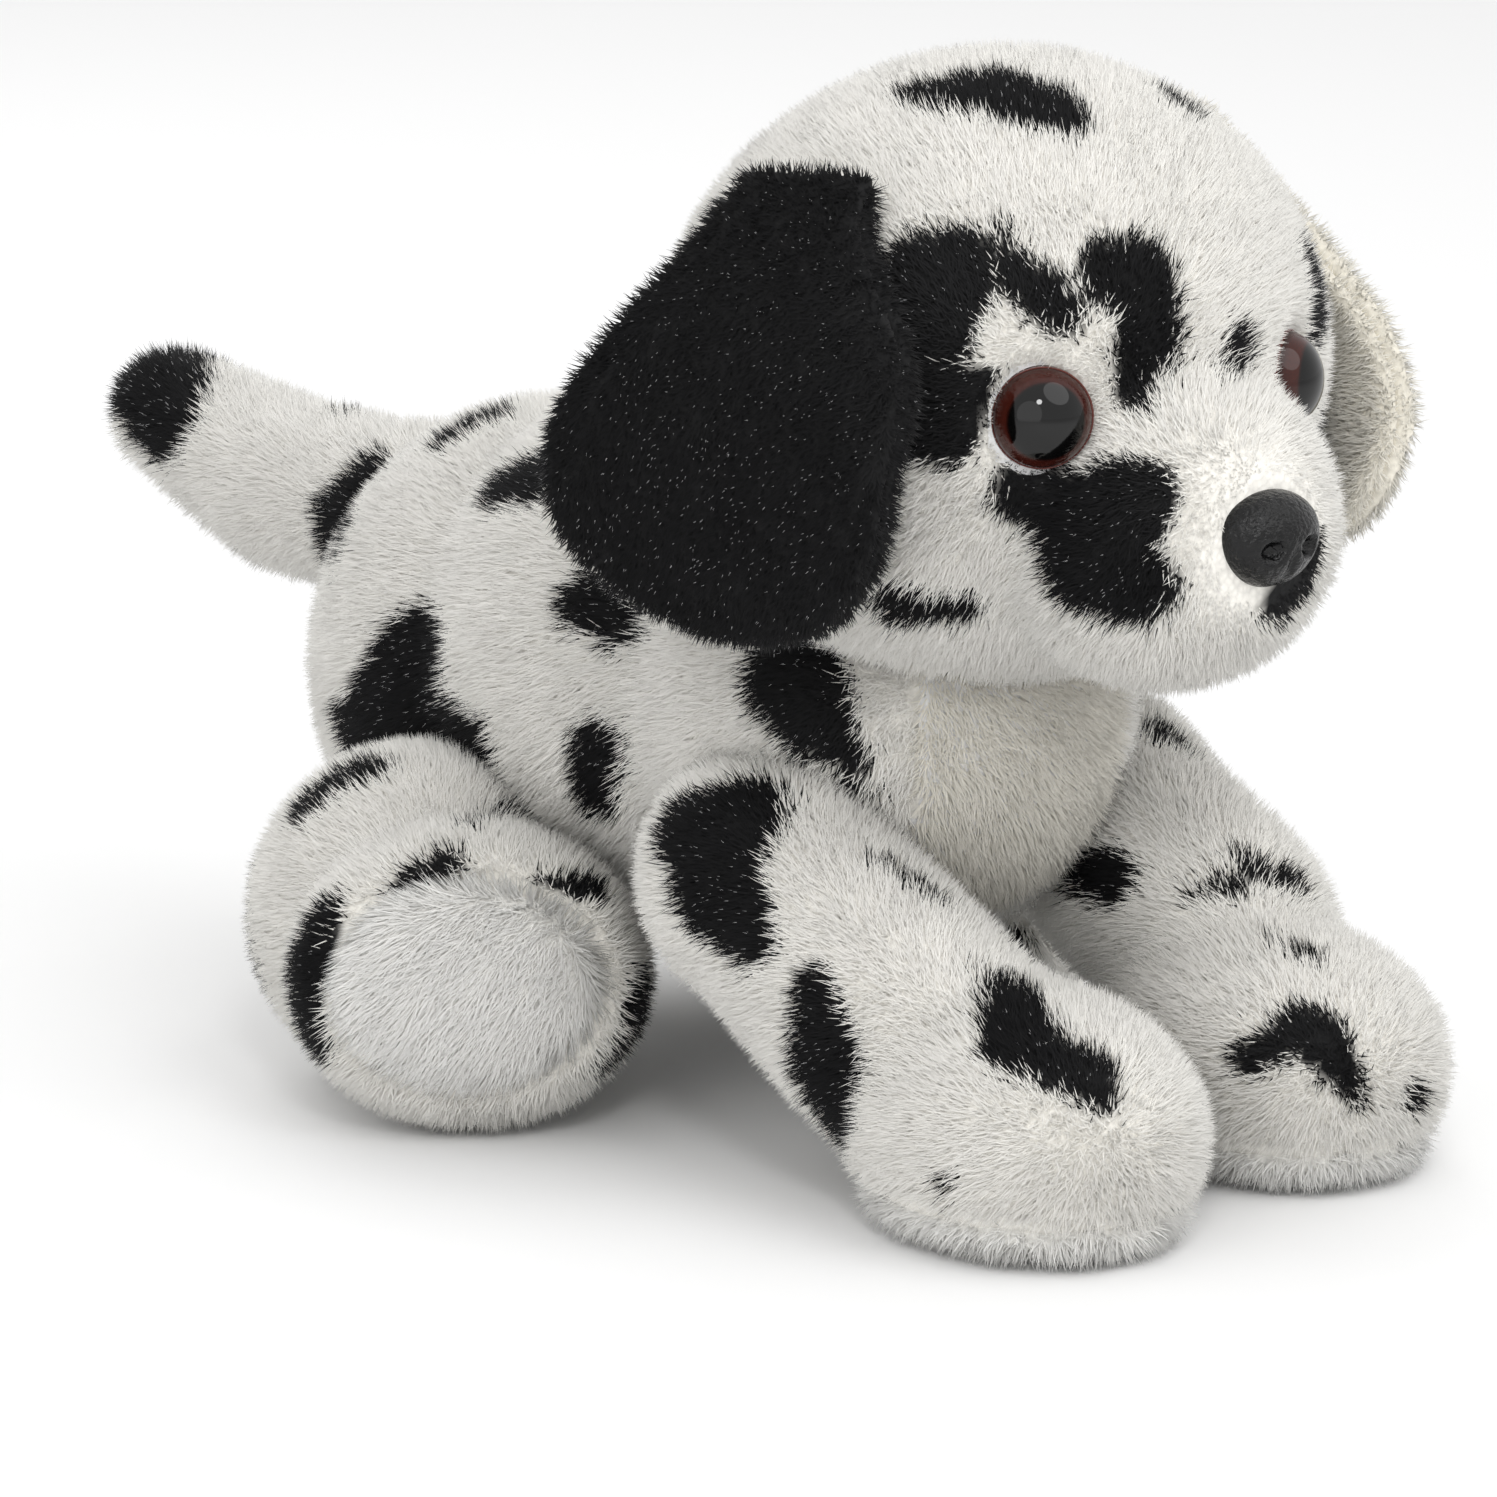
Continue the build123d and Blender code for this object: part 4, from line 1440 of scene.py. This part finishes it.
@dataclass
class HindLeg:
    """A hind leg: a haunch and a turned-out foot with a round fleece sole."""

    shop: Workshop
    side: Side
    haunch_radius: float = 17.0
    foot_from_haunch: Vector = field(default_factory=lambda: Vector((5.8, -15.0, -2.0)))
    foot_radii: tuple[float, float, float] = (17.8, 14.0, 15.0)
    foot_turn: float = 39.0
    sole_inset: float = 6.4
    sole_rise: float = 0.1
    sole_radii: tuple[float, float, float] = (12.9, 4.6, 10.2)
    pile: Pile = field(default_factory=lambda: Pile(length=2.2, comb=0.5))
    fleece: Pile = field(
        default_factory=lambda: Pile(length=2.9, lift=0.8, comb=0.95, tuft=0.5, tuft_size=3.0)
    )

    def __post_init__(self) -> None:
        """Place the leg's forms."""
        out = self.side.value
        haunch = joint_place(f"hind_leg_lift_{self.side.word}")
        aside, forward, drop = self.foot_from_haunch
        foot = haunch + Vector((out * aside, forward, drop))
        turn = math.radians(self.foot_turn)
        self.facing = Vector((out * math.sin(turn), -math.cos(turn), self.sole_rise)).normalized()
        self.sole_middle = foot + self.facing * (self.foot_radii[1] - self.sole_inset)
        self.forms = [
            ball(haunch, self.haunch_radius),
            Egg(foot, self.foot_radii, out * self.foot_turn),
        ]

    def spots(self) -> dict[str, Chain]:
        """The leg's spots, which differ from side to side."""
        if self.side is Side.RIGHT:
            return {
                "top": ((-43.0, -14.5, 25.0, 2.6), (-40.0, -15.5, 27.5, 3.0)),
                "front": ((-30.5, -22.0, 26.0, 1.6), (-25.5, -22.5, 24.0, 1.6)),
                "rear": ((-47.0, -7.0, 22.5, 2.4), (-49.5, -5.5, 17.0, 3.8), (-48.5, -4.5, 9.0, 3.8)),
                "edge": ((-22.5, -25.0, 14.5, 2.4), (-22.0, -26.0, 9.5, 3.0), (-25.5, -25.0, 5.5, 2.4)),
                "stripe": ((-33.0, -10.5, 30.0, 1.0), (-24.5, -8.5, 29.0, 1.0)),
                "haunch": ((-34.0, 4.0, 31.5, 2.6), (-38.0, 7.0, 28.5, 2.8)),
                "back": ((-36.0, 17.0, 17.0, 4.6), (-40.0, 13.0, 11.0, 3.0)),
            }
        return {
            "top": ((38.0, -12.0, 28.5, 2.6), (43.0, -10.0, 26.0, 2.0)),
            "rear": ((49.0, -5.0, 14.0, 3.6), (47.0, 1.0, 18.0, 2.6)),
            "edge": ((23.0, -25.0, 9.0, 2.4),),
            "haunch": ((36.0, 8.0, 30.0, 4.2), (32.0, 12.0, 28.0, 3.0)),
            "back": ((30.0, 20.0, 14.0, 4.2), (36.0, 18.0, 10.0, 2.6)),
        }

    def build(self, neighbours: list[Egg]) -> None:
        """Make the leg and its sole.

        Args:
            neighbours: Forms that hide part of the leg.
        """
        word = self.side.word
        body = f"hind_leg_{word}"
        middle, out = np.array(self.sole_middle), np.array(self.facing)

        def trim(places: np.ndarray) -> np.ndarray:
            """Press the floor's flat and the sole's flat into the skin."""
            places = floor_trim(0.4)(places)
            height = (places - middle) @ out + self.shop.inset
            return places - np.maximum(height, 0)[:, None] * out

        piece = self.shop.skin_of(f"hind_leg_plush_{word}", self.forms, trim)
        skin = Skin(piece, body, "spotted_plush", spots=self.spots())
        skin.clip(neighbours, 3.0)
        sole_form = Egg(
            self.sole_middle - 1.6 * self.facing, self.sole_radii, self.side.value * self.foot_turn
        )
        skin.clip([sole_form], 0.0)
        skin.pile[skin.points[:, 2] < 0.9 * MM] = 0
        self.shop.finish_skin(skin, 0.8, f"hind_leg_skin_{word}")
        self.pile.grow(
            skin, f"hind_leg_fur_{word}", combed_along(0, 1, -0.3), self.shop.fibres,
            seed=63 + self.side.value,
        )
        sole = self.shop.skin_of(f"hind_sole_fleece_{word}", [sole_form], floor_trim(0.4), inset=0.6)
        sole_skin = Skin(sole, body, "sole_fleece", plain=Coat.FLEECE)
        sole_skin.pile = between(-0.6, 0.0, sole_skin.normals @ out)
        sole_skin.pile[sole_skin.points[:, 2] < 0.9 * MM] = 0
        self.shop.finish_skin(sole_skin, 0.7, f"hind_leg_sole_{word}")
        self.fleece.grow(
            sole_skin, f"hind_sole_fur_{word}", combed_along(self.side.value * 0.6, 0.4, -0.7),
            self.shop.fibres, seed=73 + self.side.value,
        )


@dataclass
class Tail:
    """A short tail that turns up a little towards its rounded end."""

    shop: Workshop
    root_radius: float = 10.0
    base_radius: float = 9.3
    tip_radius: float = 7.2
    bend_from_root: Vector = field(default_factory=lambda: Vector((0, 21.8, 0)))
    upturn: float = 13.0
    pile: Pile = field(default_factory=lambda: Pile(length=2.7, comb=0.6, spread=0.3))
    spots: dict[str, Chain] = field(default_factory=lambda: {
        "tip": ((-2.0, 77.5, 56.5, 4.8), (-7.5, 73.0, 52.0, 5.0), (0.0, 86.0, 54.0, 5.5),
                (6.0, 78.0, 54.0, 4.0)),
        "root": ((-8.5, 37.5, 52.0, 3.4), (-10.5, 42.0, 46.5, 3.8), (-10.0, 43.0, 41.5, 2.6)),
        "left": ((8.0, 56.0, 49.0, 4.0), (7.0, 61.0, 44.0, 2.6)),
        "top": ((1.0, 52.0, 56.0, 2.2),),
        "under": ((0.0, 64.0, 38.5, 3.2),),
    })

    def __post_init__(self) -> None:
        """Place the tail's forms."""
        root = joint_place("tail_wag")
        bend = root + self.bend_from_root
        end = node_box("tail_skin")[1].y - self.tip_radius
        length = end - bend.y
        tip = bend + Vector((0, length, length * math.tan(math.radians(self.upturn))))
        self.root = root
        self.forms = [
            ball(root, self.root_radius),
            *limb(root, self.base_radius, bend, self.base_radius),
            *limb(bend, self.base_radius, tip, self.tip_radius),
        ]

    def build(self, neighbours: list[Egg]) -> None:
        """Make the tail.

        Args:
            neighbours: Forms that hide part of the tail.
        """
        piece = self.shop.skin_of("tail_plush", self.forms)
        skin = Skin(piece, "tail", "spotted_plush", spots=self.spots)
        skin.clip(neighbours, 3.0)
        self.shop.finish_skin(skin, 0.8, "tail_skin")
        self.pile.grow(skin, "tail_fur", combed_along(0, 1, 0.1), self.shop.fibres, seed=81)


@dataclass
class NeckWad:
    """The tuft of filling in the neck's opening, hidden by the head and the torso."""

    thickness: float = 6.0

    def build(self) -> None:
        """Make the wad."""
        neck = joint_place("head_turn")
        low, high = node_box("neck_stuffing")
        middle = Vector((neck.x, neck.y, low.z - 1))
        size = ((high.x - low.x) / 2.6, (high.y - low.y) / 2.6, self.thickness / 2)
        shape = bmesh.new()
        bmesh.ops.create_icosphere(shape, subdivisions=4, radius=1, matrix=Egg(middle, size).matrix())
        piece = new_piece("neck_wad", shape)
        piece.data.materials.append(FillingFinish("neck_fibre", (0.9, 0.9, 0.9), 1.5).make())
        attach(piece, "neck")
        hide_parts("neck_stuffing")
        log.info("neck_wad: %.1f mm across", 2 * size[0])


def dress_kept_nodes() -> None:
    """Give every CAD node that stays its own finish."""
    brown = GlossFinish("eye_plate_plastic", (0.075, 0.012, 0.008), (0.13, 0.024, 0.015), grain=1.5)
    finishes = {
        "eye_iris": brown.make(),
        "eye_pupil": GlossFinish("pupil_plastic", (0.002,) * 3, (0.004,) * 3).make(),
        "eye_washer": GlossFinish("washer_plastic", (0.8,) * 3, (0.85,) * 3, roughness=0.4).make(),
        "stuffing": FillingFinish("fibre_filling", (0.9, 0.9, 0.9), 1.5).make(),
        "bean_pouch": FillingFinish("pouch_cloth", (0.8, 0.8, 0.78), 0.5).make(),
    }
    finishes["nose_washer"] = finishes["eye_washer"]
    for name, node in frame["nodes"].items():
        if node.hide_render:
            continue
        finish = next(finishes[key] for key in finishes if key in name)
        node.data.materials.clear()
        node.data.materials.append(finish)
        log.info("%s: %s", name, finish.name)


@dataclass
class Studio:
    """A plain pale floor, soft lights and the camera."""

    target: Vector = field(default_factory=lambda: Vector((0, -12.0, 31.05)))
    azimuth: float = -40.0
    elevation: float = 13.0
    distance: float = 677.4            # millimetres
    lens: float = 171.7                # millimetres
    sensor: float = 36.0               # millimetres wide

    def toward(self, azimuth: float, elevation: float) -> Vector:
        """The way from the puppy to a place round it, with both angles in degrees."""
        turn, rise = math.radians(azimuth), math.radians(elevation)
        return Vector((math.sin(turn) * math.cos(rise), -math.cos(turn) * math.cos(rise), math.sin(rise)))

    def build(self) -> None:
        """Set the studio up."""
        self.floor()
        self.world()
        self.lamp("key", 10, 48, 0.55, 0.45, 0.75)
        self.lamp("fill", -60, 12, 0.95, 0.9, 1.3)
        self.lamp("back", 165, 45, 0.8, 0.6, 1.0)
        self.lamp("sparkle", -38, 36, 0.6, 0.10, 0.5)
        self.camera()

    def floor(self) -> None:
        """Lay the floor."""
        shape = bmesh.new()
        bmesh.ops.create_grid(shape, x_segments=1, y_segments=1, size=6.0)
        piece = new_piece("floor", shape)
        finish = FillingFinish("floor_paper", (0.9, 0.9, 0.9), 2000.0, 0.98)
        piece.data.materials.append(finish.make())

    def world(self) -> None:
        """Light the room evenly."""
        world = bpy.data.worlds.new("room")
        bpy.context.scene.world = world
        world.use_nodes = True
        background = world.node_tree.nodes["Background"]
        background.inputs["Color"].default_value = (1, 1, 1, 1)
        background.inputs["Strength"].default_value = 0.92

    def lamp(
        self, name: str, azimuth: float, elevation: float, away: float, size: float, power: float
    ) -> None:
        """Hang a soft square lamp that looks at the puppy.

        Args:
            name: The lamp's name.
            azimuth: Its place round the puppy in degrees.
            elevation: Its height in degrees.
            away: Its distance in metres.
            size: Its side in metres.
            power: Its power in watts.
        """
        light = bpy.data.lights.new(name, "AREA")
        light.shape = "DISK"
        light.size = size
        light.energy = power
        lamp = bpy.data.objects.new(name, light)
        lamp.location = self.target * MM + self.toward(azimuth, elevation) * away
        lamp.rotation_euler = self.toward(azimuth, elevation).to_track_quat("Z", "Y").to_euler()
        bpy.context.scene.collection.objects.link(lamp)

    def camera(self) -> None:
        """Set the camera up."""
        data = bpy.data.cameras.new("camera")
        data.lens = self.lens
        data.sensor_width = self.sensor
        data.clip_end = 50
        camera = bpy.data.objects.new("camera", data)
        way = self.toward(self.azimuth, self.elevation)
        camera.location = (self.target + way * self.distance) * MM
        camera.rotation_euler = way.to_track_quat("Z", "Y").to_euler()
        bpy.context.scene.collection.objects.link(camera)
        bpy.context.scene.camera = camera
        bpy.context.scene.view_settings.view_transform = "Standard"


def main() -> None:
    """Build the puppy in its studio."""
    logging.basicConfig(level=logging.INFO, format="%(name)s %(message)s")
    noise.seed_set(NOISE_SEED)
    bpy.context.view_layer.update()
    Studio().build()
    shop = Workshop(PileFinish().make(), SkinFinish().make())
    torso, head, tail = Torso(shop), Head(shop), Tail(shop)
    front_legs = [FrontLeg(shop, side) for side in Side]
    hind_legs = [HindLeg(shop, side) for side in Side]
    limbs = [form for part in (*front_legs, *hind_legs, tail) for form in part.forms]
    torso.build(head.forms + limbs)
    head.build(torso.forms)
    tail.build(torso.forms)
    for leg in (*front_legs, *hind_legs):
        leg.build(torso.forms)
    skull = head.forms[0]
    Ear(shop, Side.LEFT, Coat.IVORY, "ivory_plush", skull).build()
    Ear(shop, Side.RIGHT, Coat.BLACK, "black_plush", skull).build()
    NeckWad().build()
    dress_kept_nodes()


if __name__ == "__main__":
    main()
